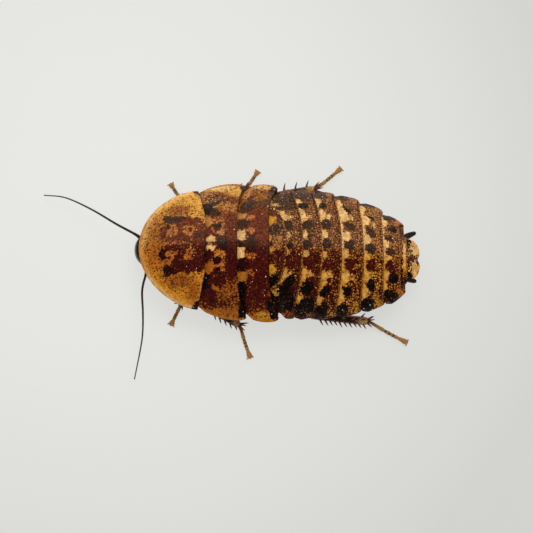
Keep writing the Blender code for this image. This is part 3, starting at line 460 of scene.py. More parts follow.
class RoachStage(bpy.types.PropertyGroup):
    """Floor, light and camera."""

    floor: colour("Floor", "Pale floor", (0.17, 0.172, 0.168))
    window_power: number("Window", "Large soft light beyond the right side, in watts", 3.4, 0, 100, "POWER")
    overhead_power: number("Overhead", "Soft light above, in watts", 0.9, 0, 100, "POWER")
    lamp_power: number("Lamp", "Small light that glints on the chitin, in watts", 0.13, 0, 100, "POWER")
    ambient: number("Ambient", "Strength of the even light from all round", 0.56, 0, 10)


# Surfaces of the body


def smooth(value):
    """0 below 0, 1 above 1 and an S-curve between."""
    held = np.clip(value, 0.0, 1.0)
    return held * held * (3.0 - 2.0 * held)


def margin_z(x):
    """Height of the body's side margin at x."""
    past = max(0.0, x - TAIL_DROOP_FROM) / (TAIL_X - TAIL_DROOP_FROM)
    return MARGIN_Z - TAIL_DROOP * past**2


def ridge_rise(x):
    """Height of the back's ridge above the margin at x."""
    past = (x - RIDGE_FALLS_FROM) / RIDGE_FALL_LENGTH
    if past > 0:
        return RIDGE_RISE * (1.0 - past**2.5)
    ahead = (RIDGE_FALLS_FROM - x) / (RIDGE_FALLS_FROM - PLATES[0].rear)
    return RIDGE_RISE - (RIDGE_RISE - HOOD_RISE) * ahead**2


def hood_half_width(x):
    """Half the pronotum's width at x."""
    ahead = max(0.0, (HOOD_WIDEST_X - x) / (HOOD_WIDEST_X - HOOD_FRONT))
    return HOOD_HALF_WIDTH * math.sqrt(max(0.0, 1.0 - ahead**HOOD_POWER))


def hood_height(x, y):
    """Top of the pronotum's dome at a place."""
    ahead = max(0.0, (HOOD_WIDEST_X - x) / (HOOD_WIDEST_X - HOOD_FRONT))
    inside = max(0.0, 1.0 - ahead**HOOD_POWER - (y / HOOD_HALF_WIDTH) ** 2)
    return MARGIN_Z + EDGE_HEIGHT + HOOD_FRONT_LIFT * ahead + (HOOD_RISE - EDGE_HEIGHT) * inside


def half_width(number, x):
    """Half the width of a back plate at x."""
    if number in THORAX_WIDTHS:
        most, fall, widest_x = THORAX_WIDTHS[number]
        return most - fall * (x - widest_x) ** 2
    ahead = max(0.0, ABDOMEN_WIDEST_X - x)
    past = min(1.0, max(0.0, x - ABDOMEN_WIDEST_X) / ABDOMEN_TAPER)
    wide = ABDOMEN_HALF_WIDTH * (1.0 - past**2.2) ** 0.49 - 0.06 * ahead**2
    return wide - 0.8 if number == NUMBER["tergite_8"] else wide


def rear_edge(number, share):
    """x of a back plate's rear edge, at a share of the half width from the midline."""
    plate = PLATES[number]
    side = min(1.0, abs(share))
    edge = plate.rear + plate.sweep * side**3 + plate.hook * side**HOOK_POWER
    if number == 0:
        return edge
    if number == NUMBER["tergite_1"]:
        return max(edge, cover_edge(number, share) - HIDDEN_DEPTH)
    return max(edge, cover_edge(number, share) + LEAST_SHOW)


def cover_edge(number, share):
    """x at which a back plate comes into view from under the plates before it."""
    if number == NUMBER["tergite_2"]:
        return max(rear_edge(number - 1, share), rear_edge(number - 2, share))
    return rear_edge(number - 1, share)


def behind_front(number, x, y):
    """How far a place lies behind the line where its plate comes into view."""
    if number == 0:
        return x
    share = y / max(1.0, half_width(number, x))
    return x - cover_edge(number, share)


# Meshes


def finish_piece(name, bm, finish, nodes=(), layers=None, wall=None):
    """Turns a bmesh in body millimetres into a finished piece that stands for its CAD nodes."""
    bm.transform(PLACE)
    mesh = bpy.data.meshes.new(name)
    bm.to_mesh(mesh)
    bm.free()
    mesh.shade_smooth()
    mesh.materials.append(finish)
    piece = bpy.data.objects.new(name, mesh)
    bpy.context.scene.collection.objects.link(piece)
    for layer, values in (layers or {}).items():
        made = mesh.attributes.new(layer, "FLOAT_COLOR", "POINT")
        tones = np.column_stack((values, np.ones(len(values))))
        made.data.foreach_set("color", tones.astype(np.float32).ravel())
    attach(piece, "root")
    if nodes:
        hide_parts(*nodes)
    if wall:
        solid = piece.modifiers.new("wall", "SOLIDIFY")
        solid.thickness = wall * MM
        solid.offset = -1.0
        solid.use_even_offset = False


def finish_limb(name, bm, finish, nodes):
    """Turns a bmesh of tubes into a finished piece, with its layers kept as a colour for the material."""
    bmesh.ops.recalc_face_normals(bm, faces=bm.faces)
    layers = [bm.verts.layers.float[layer] for layer in LIMB_LAYERS]
    tones = np.array([[vert[layer] for layer in layers] for vert in bm.verts])
    tones[:, 1] = tones[:, 1] * 0.5 + 0.5
    finish_piece(name, bm, finish, nodes, {"limb": tones})


def face_up(bm):
    """Turns a sheet so that its middle faces up, because an open sheet's recalculated side is arbitrary."""
    bmesh.ops.recalc_face_normals(bm, faces=bm.faces)
    if sum(face.normal.z * face.calc_area() for face in bm.faces) < 0:
        bmesh.ops.reverse_faces(bm, faces=bm.faces)


def grid_sheet(rows, columns, place):
    """A sheet of quads that faces up, front to rear and left to right, shaped by place(along, across)."""
    bm = bmesh.new()
    bmesh.ops.create_grid(bm, x_segments=columns, y_segments=rows, size=1.0)
    for vert in bm.verts:
        vert.co = place((vert.co.y + 1.0) / 2.0, vert.co.x)
    face_up(bm)
    return bm


def smooth_route(points, count):
    """Evenly numbered points on a smooth curve through the given ones."""
    spots = [Vector(point) for point in points]
    spots = [2 * spots[0] - spots[1]] + spots + [2 * spots[-1] - spots[-2]]
    route = []
    spans = len(spots) - 3
    for step in range(count):
        where = spans * step / (count - 1)
        span = min(int(where), spans - 1)
        t = where - span
        a, b, c, d = spots[span : span + 4]
        spot = b + 0.5 * t * (c - a + t * (2 * a - 5 * b + 4 * c - d + t * (3 * (b - c) + d - a)))
        route.append(spot)
    return route


def even_route(points, count):
    """Points at equal distances along a smooth curve."""
    fine = smooth_route(points, count * 6)
    reach = [0.0]
    for a, b in zip(fine, fine[1:]):
        reach.append(reach[-1] + (b - a).length)
    route = []
    index = 0
    for step in range(count):
        goal = reach[-1] * step / (count - 1)
        while index < len(reach) - 2 and reach[index + 1] < goal:
            index += 1
        share = (goal - reach[index]) / max(1e-9, reach[index + 1] - reach[index])
        route.append(fine[index].lerp(fine[index + 1], share))
    return route


def directions(ahead):
    """Unit vectors along a direction, across it and up from it."""
    along = ahead.normalized()
    across = Vector((0, 0, 1)).cross(along).normalized()
    return along, across, along.cross(across).normalized()


def station(spot, ahead, width, height):
    """Matrix that sets a flat unit circle across a route, with its half width and half height."""
    along, across, up = directions(ahead)
    turn = Matrix((across, up, along)).transposed().to_4x4()
    return Matrix.Translation(spot) @ turn @ Matrix.Diagonal((width, height, 1.0, 1.0))


def sweep_tube(bm, route, widths, heights, sides, floor=None, kind=0.0):
    """A closed tube, extruded ring by ring along a route, with its points held above a floor if given."""
    floats = bm.verts.layers.float
    along_layer, turn_layer, kind_layer = [floats.get(name) or floats.new(name) for name in LIMB_LAYERS]
    last = len(route) - 1
    places = []
    for step, spot in enumerate(route):
        ahead = route[min(step + 1, last)] - route[max(step - 1, 0)]
        places.append(station(spot, ahead, widths[step], heights[step]))
    made = bmesh.ops.create_circle(bm, cap_ends=False, segments=sides, radius=1.0, matrix=places[0])
    ring = made["verts"]
    for number, vert in enumerate(ring):
        vert[turn_layer] = math.cos(math.tau * number / sides)
    start_edges = list({edge for vert in ring for edge in vert.link_edges})
    edges = start_edges
    skin = list(ring)
    for step in range(1, len(places)):
        grown = bmesh.ops.extrude_edge_only(bm, edges=edges)["geom"]
        ring = [item for item in grown if isinstance(item, bmesh.types.BMVert)]
        edges = [item for item in grown if isinstance(item, bmesh.types.BMEdge)]
        edges = [edge for edge in edges if all(vert in ring for vert in edge.verts)]
        bmesh.ops.transform(bm, matrix=places[step] @ places[step - 1].inverted(), verts=ring)
        for vert in ring:
            vert[along_layer] = step / last
        skin += ring
    bmesh.ops.contextual_create(bm, geom=start_edges)
    bmesh.ops.contextual_create(bm, geom=edges)
    for vert in skin:
        vert[kind_layer] = kind
        if floor is not None:
            vert.co.z = max(vert.co.z, floor)
    return skin


# Paint: tones of the plates from their named marks


def palette():
    """The shell colours by name."""
    shell = bpy.context.scene.roach_shell
    names = [key for key, setting in shell.bl_rna.properties.items() if setting.subtype == "COLOR"]
    return {name: np.array(getattr(shell, name)[:]) for name in names}


def wobble(spots, size, seed):
    """A smooth random shift for each place, with features of a given size."""
    noise.seed_set(RAGGED_SEED)
    shift = Vector((seed * 17.3, seed * 5.1, seed * 2.7))
    return np.array([noise.noise_vector(Vector(spot) / size + shift)[:] for spot in spots])


def blend(colours, colour, amount):
    """Lays a colour over the colours so far."""
    return colours + (colour - colours) * amount[:, None]


class Painter:
    """One plate's paint: a pale ground, the dark pigment over it and how much of that shows."""

    # Painted light and shade: each tone has a lit copy for the right half and a deeper, shaded copy for the
    # left half, by these tints and pairs
    GROUND_SHADE_LEFT = np.array((1.02, 0.82, 0.3))
    PIGMENT_SHADE_LEFT = np.array((0.42, 0.1, 0.12))
    UNTINTED = ("cream", "gold", "bronze", "ink")
    LIT_AND_SHADED_HALVES = {
        "pale": ("cream", "gold"),
        "spot": ("umber", "ink"),
        "deep": ("umber", "maroon"),
        "ink": ("soot", "ink"),
    }
    SQUARENESS = 2.4

    def __init__(self, bm, number):
        self.number = number
        self.colour = palette()
        self.spots = np.array([vert.co[:] for vert in bm.verts])
        self.behind = np.array([behind_front(number, spot[0], spot[1]) for spot in self.spots])
        self.across = self.spots[:, 1].copy()
        # Share of the left half, which takes the shaded copies of the tones as painted shade
        self.left = smooth((0.8 - self.across) / 2.0)
        coarse = wobble(self.spots, 0.8, number + 1)
        fine = wobble(self.spots, 0.3, number + 31)
        self.rough = coarse[:, 2] * 0.6 + fine[:, 2] * 0.6
        self.ragged_behind = self.behind + 0.26 * coarse[:, 0] + 0.16 * fine[:, 0]
        self.ragged_across = self.across + 0.28 * coarse[:, 1] + 0.16 * fine[:, 1]
        self.whole = np.ones(len(self.spots))
        self.ground, self.pigment = np.zeros((2, len(self.spots), 3))
        self.level, self.flecks, self.pepper = np.zeros((3, len(self.spots)))

    def side(self):
        """How far out each point lies on its plate, from 0 on the midline to 1 at the margin."""
        return np.abs(self.across) / np.array([half_width(self.number, spot[0]) for spot in self.spots])

    def before_edge(self):
        """How far each point lies ahead of its plate's rear edge."""
        return np.array([rear_edge(self.number, share) for share in self.side()]) - self.spots[:, 0]

    def tone(self, name):
        """A tone at every point, with painted light: its lit copy on the right half and its deeper, shaded
        copy on the left.
        """
        right, left = self.LIT_AND_SHADED_HALVES.get(name, (name, name))
        tint = self.PIGMENT_SHADE_LEFT if name in DARK_TONES else self.GROUND_SHADE_LEFT
        if left in self.UNTINTED:
            tint = 1.0
        return blend(np.tile(self.colour[right], (len(self.left), 1)), self.colour[left] * tint, self.left)

    def lay(self, name, amount, level=None):
        """Lays a tone, as pigment or as ground, and moves the pigment's level towards the given one."""
        held = np.clip(amount, 0.0, 1.0)
        if name in DARK_TONES:
            self.pigment = blend(self.pigment, self.tone(name), held)
        else:
            self.ground = blend(self.ground, self.tone(name), held)
        if level is not None:
            self.level += (level - self.level) * held

    def lay_marks(self, plate):
        """Lays the marks of a plate's table, one over the other."""
        for row in MARKS[plate]:
            mark = Mark(*row)
            along = self.ragged_behind - mark.behind
            across = self.ragged_across - mark.across - mark.lean * along
            power = self.SQUARENESS
            reach = np.abs(along / mark.length) ** power + np.abs(across / mark.width) ** power
            reach = reach ** (1.0 / power)
            self.lay(mark.tone, smooth((1.0 + mark.soft / 2 - reach) / mark.soft), mark.level)
            if mark.tone == "pale":
                amount = 0.5 * smooth((0.8 - reach) / 0.5) * self.left
                self.ground = blend(self.ground, self.colour["cream"], amount)

    def layers(self):
        """The three colour layers that the shell's finish reads."""
        # The flecks share places pale flecks and also the painted glints
        grain = np.column_stack((self.level, self.flecks, self.pepper))
        parts = {"ground": self.ground, "pigment": self.pigment, "grain": grain}
        return {name: np.clip(values, 0.0, 1.0) for name, values in parts.items()}


def paint_hood(bm):
    """Pronotum: honey with a pale rim, peppered with dots, and a dark mask with orange windows."""
    painter = Painter(bm, 0)
    x, y = painter.spots[:, 0], painter.spots[:, 1]
    painter.lay("honey", painter.whole)
    painter.lay("maroon", painter.whole, 0.0)
    ahead = np.clip((HOOD_WIDEST_X - x) / (HOOD_WIDEST_X - HOOD_FRONT), 0.0, 1.0)
    reach = np.sqrt(np.clip(ahead**HOOD_POWER + (y / HOOD_HALF_WIDTH) ** 2, 0.0, 1.2))
    painter.level = 0.10 * smooth((0.90 - reach) / 0.3)
    painter.lay_marks("pronotum")
    breadth = 0.12 - 0.05 * painter.left
    ahead_of_rear = smooth((-12.3 - x) / 0.8)
    rim = smooth((reach - 1.0 + breadth) / breadth) * ahead_of_rear
    painter.lay("cream", rim * (0.7 + 0.3 * painter.left), 0.0)
    painter.lay("tan", smooth((reach - 0.93) / 0.05) * smooth((-18.5 - x) / 1.5) * 0.8, 0.0)
    painter.lay("tan", smooth((reach - 0.985) / 0.012) * ahead_of_rear * 0.35, 0.0)
    share = np.abs(y) / HOOD_HALF_WIDTH
    outside = smooth((np.abs(y) - 4.5) / 2.0)
    corner = -11.55 - 0.5 * share**3 - 0.8 * smooth((share - 0.86) / 0.12)
    painter.lay("umber", smooth((x - corner) / 0.14) * outside, 0.95)
    inside = smooth((0.97 - 0.04 * smooth((x + 19.0) / 3.0) - reach) / 0.07)
    sparse = smooth((x + 14.5) / 2.0) * outside
    painter.pepper = inside * (1.0 - 0.5 * sparse) * (1.0 - smooth((painter.level - 0.5) / 0.3))
    painter.flecks = 0.3 * painter.level
    return painter.layers()


def paint_thorax(bm, number):
    """Mesonotum or metanotum: maroon field with pale blocks, and honey flanges with a pale rim."""
    painter = Painter(bm, number)
    side = painter.side()
    painter.lay("amber", painter.whole)
    painter.lay("maroon", painter.whole, 0.32)
    painter.lay("brown", smooth((painter.across - 5.0) / 1.5))
    painter.lay_marks(PLATES[number].name)
    middle = smooth((painter.behind - 0.3) / 0.5)
    painter.lay("tan", smooth((side - 0.955) / 0.02) * middle * 0.7, 0.1)
    painter.lay("umber", smooth((0.16 - painter.before_edge()) / 0.1), 0.97)
    painter.lay("ink", 1.0 - smooth((np.abs(painter.across) - 0.03) / 0.06), 0.8)
    pale = 1.0 - smooth((painter.level - 0.4) / 0.3)
    painter.pepper = 0.45 * pale * smooth((side - 0.5) / 0.1)
    painter.flecks = 0.42 * (1.0 - pale) * (0.7 + painter.rough)
    return painter.layers()


def paint_tergite(bm, number):
    """A tergite: pigment over tan, with a pale front band whose tongues run back between dark spots."""
    name = PLATES[number].name
    cast = TERGITE_GROUND[name]
    painter = Painter(bm, number)
    side, left = painter.side(), painter.left
    painter.lay("tan", painter.whole)
    # Painted shade: the left half takes a gold ground, maroon pigment and more of it
    painter.lay("gold", left * 0.7)
    painter.lay("brown", painter.whole, 0.0)
    painter.lay("maroon", left)
    painter.level = cast.right + (cast.left - cast.right) * left + 0.10 * painter.rough
    painter.level -= 0.10 * np.exp(-((painter.across - 0.4) ** 2)) * (1.0 - left)
    if cast.band:
        band = smooth((cast.band - painter.ragged_behind * 0.9) / 0.1) * smooth((0.88 - side) / 0.08)
        painter.lay("pale", band, 0.02)
    painter.lay_marks(name)
    before_edge = painter.before_edge()
    solid = smooth((painter.level - 0.93) / 0.05)
    strip = smooth((0.42 - before_edge) / 0.12) * (1.0 - solid) * smooth((0.9 - side) / 0.1)
    painter.lay("ember", strip * 0.7)
    painter.level += (0.3 - painter.level) * strip * 0.75
    painter.lay("maroon", smooth((0.05 - before_edge) / 0.04), 0.8)
    painter.flecks = (0.34 + 0.3 * painter.rough) * smooth((painter.level - 0.3) / 0.3) * (1.0 - 0.75 * solid)
    painter.flecks += 0.3 * smooth((side - 0.68) / 0.1) * smooth((painter.level - 0.6) / 0.2)
    painter.pepper = 0.25 * smooth((0.5 - before_edge) / 0.2)
    return painter.layers()


def paint_tail(bm, start):
    """Supra-anal plate: cream with honey corners, dark in the middle and at its root."""
    painter = Painter(bm, len(PLATES) - 1)
    painter.lay("cream", painter.whole)
    # More gold towards the left half: partly painted shade, as on the back plates
    painter.lay("gold", np.clip(0.1 + 0.3 * painter.left + painter.rough, 0, 1))
    painter.lay("umber", painter.whole, 0.06)
    x, out = painter.spots[:, 0], np.abs(painter.across)
    ends = np.array([tail_end(y / 3.1) for y in painter.across])
    along = (x - start) / (ends - start)
    painter.lay("brown", smooth((0.55 - along + 0.4 * painter.rough) / 0.3), 0.72)
    painter.lay("brown", smooth((0.85 - out + 0.5 * painter.rough) / 0.5), 0.78)
    corner = smooth((out - 1.5 - 0.8 * (x - start - 0.4)) / 0.4)
    painter.lay("ink", corner * smooth((0.8 - along) / 0.1), 1.0)
    painter.lay("umber", smooth((start + 0.7 - x + 0.3 * painter.rough) / 0.3), 0.85)
    painter.lay("honey", smooth((0.3 - (ends - x)) / 0.15) * smooth((out - 0.6) / 0.3), 0.0)
    return painter.layers()


def paint_sternite(bm, rear):
    """Sternite: amber, darker towards its sides and its rear edge."""
    painter = Painter(bm, FIRST_TERGITE)
    painter.lay("belly", painter.whole)
    painter.lay("amber", np.clip(0.3 + painter.rough, 0, 1))
    painter.lay("umber", painter.whole, 0.16)
    painter.level += 0.75 * smooth((painter.side() - 0.62 - 0.3 * painter.rough) / 0.25)
    painter.level += 0.45 * smooth((painter.spots[:, 0] - rear + 0.5) / 0.3)
    painter.pepper[:] = 0.3
    return painter.layers()


# Finishes


class Finish:
    """A node finish with short ways to add nodes. An input takes another node's socket or a plain value."""

    def __init__(self, name):
        self.made = bpy.data.materials.new(name)
        self.made.use_nodes = True
        self.shader = self.made.node_tree.nodes["Principled BSDF"]
        place = self.node("TexCoord").outputs["Object"]
        scale = (1.0 / MM, 1.0 / MM, 1.0 / MM)
        self.vector = self.node("Mapping", {"Vector": place, "Scale": scale}).outputs["Vector"]

    def fill(self, node, inputs):
        """Links or sets a node's inputs."""
        for key, value in inputs.items():
            if isinstance(value, bpy.types.NodeSocket):
                self.made.node_tree.links.new(value, node.inputs[key])
            else:
                node.inputs[key].default_value = value

    def node(self, kind, inputs=None, **settings):
        """A node with its settings and inputs."""
        made = self.made.node_tree.nodes.new("ShaderNode" + kind)
        for key, value in settings.items():
            setattr(made, key, value)
        self.fill(made, inputs or {})
        return made

    def noise(self, scale, detail=3.0, roughness=0.55):
        """A noise field, about 0.5 in the middle."""
        inputs = {"Vector": self.vector, "Scale": scale, "Detail": detail, "Roughness": roughness}
        return self.node("TexNoise", inputs).outputs["Fac"]

    def math(self, operation, *values):
        """A sum, product or comparison of values."""
        return self.node("Math", dict(enumerate(values)), operation=operation).outputs["Value"]

    def span(self, value, low, high, to_low=0.0, to_high=1.0):
        """A value's range mapped smoothly onto another."""
        inputs = {"Value": value, "From Min": low, "From Max": high, "To Min": to_low, "To Max": to_high}
        return self.node("MapRange", inputs, interpolation_type="SMOOTHSTEP").outputs["Result"]

    def clouds(self, low, high, *field):
        """Clouds of noise between two values."""
        return self.span(self.noise(*field), 0.3, 0.7, low, high)

    def mix(self, factor, first, second, blend_type="MIX"):
        """Two colours mixed."""
        pair = [part if isinstance(part, bpy.types.NodeSocket) else (*part, 1.0) for part in (first, second)]
        inputs = {"Factor": factor, 6: pair[0], 7: pair[1]}
        return self.node("Mix", inputs, data_type="RGBA", blend_type=blend_type).outputs[2]

    def layer(self, name):
        """A colour layer of the mesh."""
        return self.node("VertexColor", layer_name=name).outputs["Color"]

    def parts(self, colour):
        """The red, green and blue parts of a colour."""
        made = self.node("SeparateColor", {"Color": colour})
        return made.outputs["Red"], made.outputs["Green"], made.outputs["Blue"]

    def dots(self, scale, radius, density):
        """Small round dots: one in each cell whose random number is under the density."""
        inputs = {"Vector": self.vector, "Scale": scale, "Randomness": 1.0}
        cells = self.node("TexVoronoi", inputs, feature="F1")
        chance, girth, _ = self.parts(cells.outputs["Color"])
        size = self.math("MULTIPLY_ADD", girth, radius * 0.8, radius * 0.6)
        near = self.math("SUBTRACT", size, cells.outputs["Distance"])
        here = self.math("LESS_THAN", chance, density)
        return self.math("MULTIPLY", here, self.span(near, 0.0, radius * 0.45))

    def finished(self, colour, roughness, relief, coat=(0.0, 0.03)):
        """The finish with its colour, gloss, relief (field, strength, depth) and coat (weight, roughness)."""
        height, strength, depth = relief
        bump = self.node("Bump", {"Strength": strength, "Distance": depth * MM, "Height": height})
        self.fill(self.shader, {
            "Base Color": colour, "Roughness": roughness, "Normal": bump.outputs["Normal"],
            "Coat Weight": coat[0], "Coat Roughness": coat[1],
        })
        return self.made


def shell_finish(name, gloss=0.4, coat=0.08, grain_size=1.0, lacing=1.0):
    """Chitin: dark pigment laced over a pale ground by the level layer, with dots, flecks and relief."""
    finish = Finish(name)
    level, fleck_and_glint, pepper = finish.parts(finish.layer("grain"))
    bent = finish.node("TexNoise", {"Vector": finish.vector, "Scale": 3.0}).outputs["Color"]
    inputs = {0: bent, 1: (0.3, 0.3, 0.3), 2: finish.vector}
    shifted = finish.node("VectorMath", inputs, operation="MULTIPLY_ADD")
    inputs = {"Vector": shifted.outputs["Vector"], "Scale": 2.1 / grain_size}
    cells = finish.node("TexVoronoi", inputs, feature="DISTANCE_TO_EDGE")
    net = finish.span(cells.outputs["Distance"], 0.03, 0.26, 1.0, 0.0)
    least = -0.2 - lacing * (0.5 * (LACE_COARSE + LACE_FINE) + 0.45 * LACE_NET)
    lace = finish.math("MULTIPLY_ADD", level, 1.4, least)
    fine = finish.noise(3.0 / grain_size, 1.5)
    for field, strength in ((finish.noise(1.5, 2.0), LACE_COARSE), (fine, LACE_FINE), (net, LACE_NET)):
        lace = finish.math("MULTIPLY_ADD", field, strength * lacing, lace)
    dots = finish.dots(2.5 / grain_size, 0.4, pepper)
    fine_dots = finish.dots(3.4 / grain_size, 0.4, pepper)
    flecks = finish.dots(3.7 / grain_size, 0.25, fleck_and_glint)
    # Painted glints: tiny bright highlight dots, placed where the flecks share is high
    glints = finish.dots(2.1, 0.15, finish.math("MULTIPLY", fleck_and_glint, 0.6))
    ground = finish.layer("ground")
    blots = finish.span(finish.noise(5.0, 4.0, 0.7), 0.34, 0.66, 0.35, 1.8)
    pigment = finish.mix(1.0, finish.layer("pigment"), blots, "MULTIPLY")
    body = finish.mix(finish.span(lace, 0.32, 0.68), ground, pigment)
    body = finish.mix(1.0, body, finish.clouds(0.56, 1.46, 2.2, 6.0, 0.75), "MULTIPLY")
    freckle = bpy.context.scene.roach_shell.freckle[:]
    for specks, strength, colour in ((dots, 0.85, freckle), (fine_dots, 0.8, freckle), (flecks, 0.7, ground)):
        body = finish.mix(finish.math("MULTIPLY", specks, strength), body, colour)
    body = finish.mix(glints, body, GLINT)
    relief = finish.math("MULTIPLY_ADD", finish.math("ADD", dots, flecks), 0.35, finish.noise(7.0))
    relief = finish.math("MULTIPLY_ADD", net, -0.35, relief)
    finish.fill(finish.shader, {"Specular IOR Level": 0.12})
    gloss_clouds = finish.clouds(gloss - 0.07, gloss + 0.1, 6.0, 2.0)
    return finish.finished(body, gloss_clouds, (relief, 0.5, 0.06), (coat, 0.3))


def limb_finish(name, ground, patch, low, high, gloss, mottle=0.5):
    """Leg chitin: a ground colour with a patch between two places along the limb, and fine ridges."""
    finish = Finish(name)
    along, turn, kind = finish.parts(finish.layer("limb"))
    place = finish.math("ADD", along, finish.math("MULTIPLY_ADD", finish.noise(2.5), 0.25, -0.125))
    zone = finish.span(place, low - 0.05, low + 0.05)
    for edge in (finish.span(place, high - 0.05, high + 0.05, 1.0, 0.0), finish.span(turn, 0.5, 0.78)):
        zone = finish.math("MULTIPLY", zone, edge)
    body = finish.mix(zone, ground, patch)
    body = finish.mix(kind, body, bpy.context.scene.roach_limbs.spine[:])
    body = finish.mix(1.0, body, finish.clouds(1.0 - mottle, 1.0 + mottle, 3.5, 4.0), "MULTIPLY")
    gloss_clouds = finish.clouds(gloss - 0.06, gloss + 0.1, 9.0, 2.0)
    return finish.finished(body, gloss_clouds, (finish.noise(10.0), 0.4, 0.04), (0.2, 0.25))


def foot_finish():
    """Tarsus: honey with dark bands round its middle, and tawny pads and claws."""
    limbs = bpy.context.scene.roach_limbs
    finish = Finish("foot_banded")
    along, _, kind = finish.parts(finish.layer("limb"))
    ragged = finish.math("MULTIPLY_ADD", finish.noise(3.0), 0.03, along)
    wave = finish.math("SINE", finish.math("MULTIPLY_ADD", ragged, 57.1, 0.5))
    bands = finish.span(wave, -0.35, 0.5, 0.0, 0.85)
    for edge in (finish.span(along, 0.36, 0.39), finish.span(along, 0.71, 0.73, 1.0, 0.0)):
        bands = finish.math("MULTIPLY", bands, edge)
    body = finish.mix(bands, limbs.honey[:], limbs.band[:])
    body = finish.mix(finish.span(along, 0.0, 0.3, 0.8, 0.15), body, limbs.band[:])
    body = finish.mix(kind, body, limbs.claw[:])
    return finish.finished(body, finish.clouds(0.3, 0.45, 9.0), (finish.noise(12.0), 0.4, 0.03), (0.15, 0.03))


def feeler_finish():
    """Feeler: near black at the root, greyer towards the tip, dull between its rings."""
    limbs = bpy.context.scene.roach_limbs
    finish = Finish("feeler_dark")
    along, _, _ = finish.parts(finish.layer("limb"))
    body = finish.mix(finish.span(along, 0.3, 1.0), limbs.feeler[:], limbs.feeler_tip[:])
    body = finish.mix(1.0, body, finish.clouds(0.7, 1.3, 4.0), "MULTIPLY")
    return finish.finished(body, finish.clouds(0.4, 0.6, 8.0), (finish.noise(14.0), 0.4, 0.02))


def dark_finish(name, colour, gloss, cell=0.0):
    """Black chitin with faint brown clouds, or with the facets of an eye."""
    finish = Finish(name)
    cloud = finish.span(finish.noise(1.6, 4.0), 0.35, 0.75)
    body = finish.mix(cloud, colour, tuple(min(1.0, part * 2.6 + 0.004) for part in colour))
    if cell:
        inputs = {"Vector": finish.vector, "Scale": 1.0 / cell, "Randomness": 0.25}
        facets = finish.node("TexVoronoi", inputs, feature="F1")
        relief = (finish.math("SUBTRACT", 1.0, facets.outputs["Distance"]), 0.5, 0.02)
    else:
        relief = (finish.noise(5.0), 0.35, 0.04)
    gloss_clouds = finish.clouds(gloss - 0.04, gloss + 0.08, 7.0)
    return finish.finished(body, gloss_clouds, relief, (0.22, 0.15))


def floor_finish():
    """A smooth pale table top with the faintest cloud, and a painted glow of its own that falls off away from
    the animal.
    """
    finish = Finish("floor_pale")
    tint = bpy.context.scene.roach_stage.floor[:]
    body = finish.mix(finish.clouds(0.0, 1.0, 0.02), tint, tuple(part * 0.985 for part in tint))
    place = finish.node("SeparateXYZ", {"Vector": finish.vector})
    away = finish.node("VectorMath", {0: finish.vector, 1: finish.vector}, operation="DOT_PRODUCT")
    glow = FLOOR_GLOW
    for distance, change in (
        (place.outputs["X"], FLOOR_GLOW_BACK), (place.outputs["Y"], FLOOR_GLOW_RIGHT),
        (away.outputs["Value"], FLOOR_GLOW_AWAY),
    ):
        glow = finish.math("MULTIPLY_ADD", distance, change, glow)
    glow = finish.math("MINIMUM", finish.math("MAXIMUM", glow, FLOOR_GLOW_LEAST), FLOOR_GLOW_MOST)
    finish.fill(finish.shader, {
        "Base Color": body, "Roughness": finish.clouds(0.5, 0.6, 0.3), "Specular IOR Level": 0.3,
        "Emission Color": (1.0, 1.0, 0.965, 1.0), "Emission Strength": glow,
    })
    return finish.made


# Pieces of the back


def hood_point(turn, reach):
    """A place on the pronotum's dome: turn runs once round its outline and reach goes out from the centre."""
    share = (turn % 1.0) * 4.0
    if share < 1.0:
        across = -1.0 + 2.0 * share
        x = rear_edge(0, across)
        rim = Vector((x, across * hood_half_width(x) * 0.985, 0))
    else:
        angle = math.pi * (share - 1.0) / 3.0
        x = HOOD_WIDEST_X - abs(math.sin(angle)) ** 1.15 * (HOOD_WIDEST_X - HOOD_FRONT)
        from_corner = min(angle, math.pi - angle)
        if from_corner < HOOD_CORNER_TURN:
            x += (1.0 - from_corner / HOOD_CORNER_TURN) * (rear_edge(0, 1.0) - HOOD_WIDEST_X)
        rim = Vector((x, (1 if angle < math.pi / 2 else -1) * hood_half_width(x), 0))
    centre = Vector((HOOD_CENTRE_X, 0, 0))
    return centre + reach * (rim - centre)


def hood_surface(turns, reaches):
    """The dome as rings round its centre, each ring a turn of the outline."""
    bm = bmesh.new()
    bmesh.ops.create_grid(bm, x_segments=turns, y_segments=len(reaches) - 1, size=1.0)
    bm.verts.ensure_lookup_table()
    for row, (reach, drop) in enumerate(reaches):
        for column in range(turns + 1):
            spot = hood_point(column / turns, reach)
            bm.verts[row * (turns + 1) + column].co = (spot.x, spot.y, hood_height(spot.x, spot.y) - drop)
    bmesh.ops.remove_doubles(bm, verts=bm.verts, dist=0.0004)
    face_up(bm)
    return bm


class ROACH_OT_pronotum(bpy.types.Operator):
    """Build the pronotum, the hood over the head"""

    bl_idname = "roach.pronotum"
    bl_label = "Pronotum"

    def execute(self, context):
        shell = context.scene.roach_shell
        rings = int(HOOD_REACH / shell.spacing)
        reaches = []
        for reach in [HOOD_HOLE] + [step / rings for step in range(1, rings)]:
            reaches.append((reach, 0.05 * smooth((reach - 0.9) / 0.1) - 0.05 * smooth((reach - 0.86) / 0.05)))
        reaches += HOOD_FOLD + [(0.94 - 0.03 * step, 0.34) for step in range(8)]
        bm = hood_surface(int(HOOD_OUTLINE / shell.spacing), reaches)
        centre_hole = [edge for edge in bm.edges if edge.is_boundary and abs(edge.verts[0].co.y) < 0.3]
        bmesh.ops.holes_fill(bm, edges=centre_hole)
        layers = paint_hood(bm)
        finish = shell_finish("hood_chitin", 0.42, 0.05, 0.95, 0.68)
        finish_piece("pronotum_shell", bm, finish, ["pronotum"], layers, shell.thickness * 0.6)
        return {"FINISHED"}


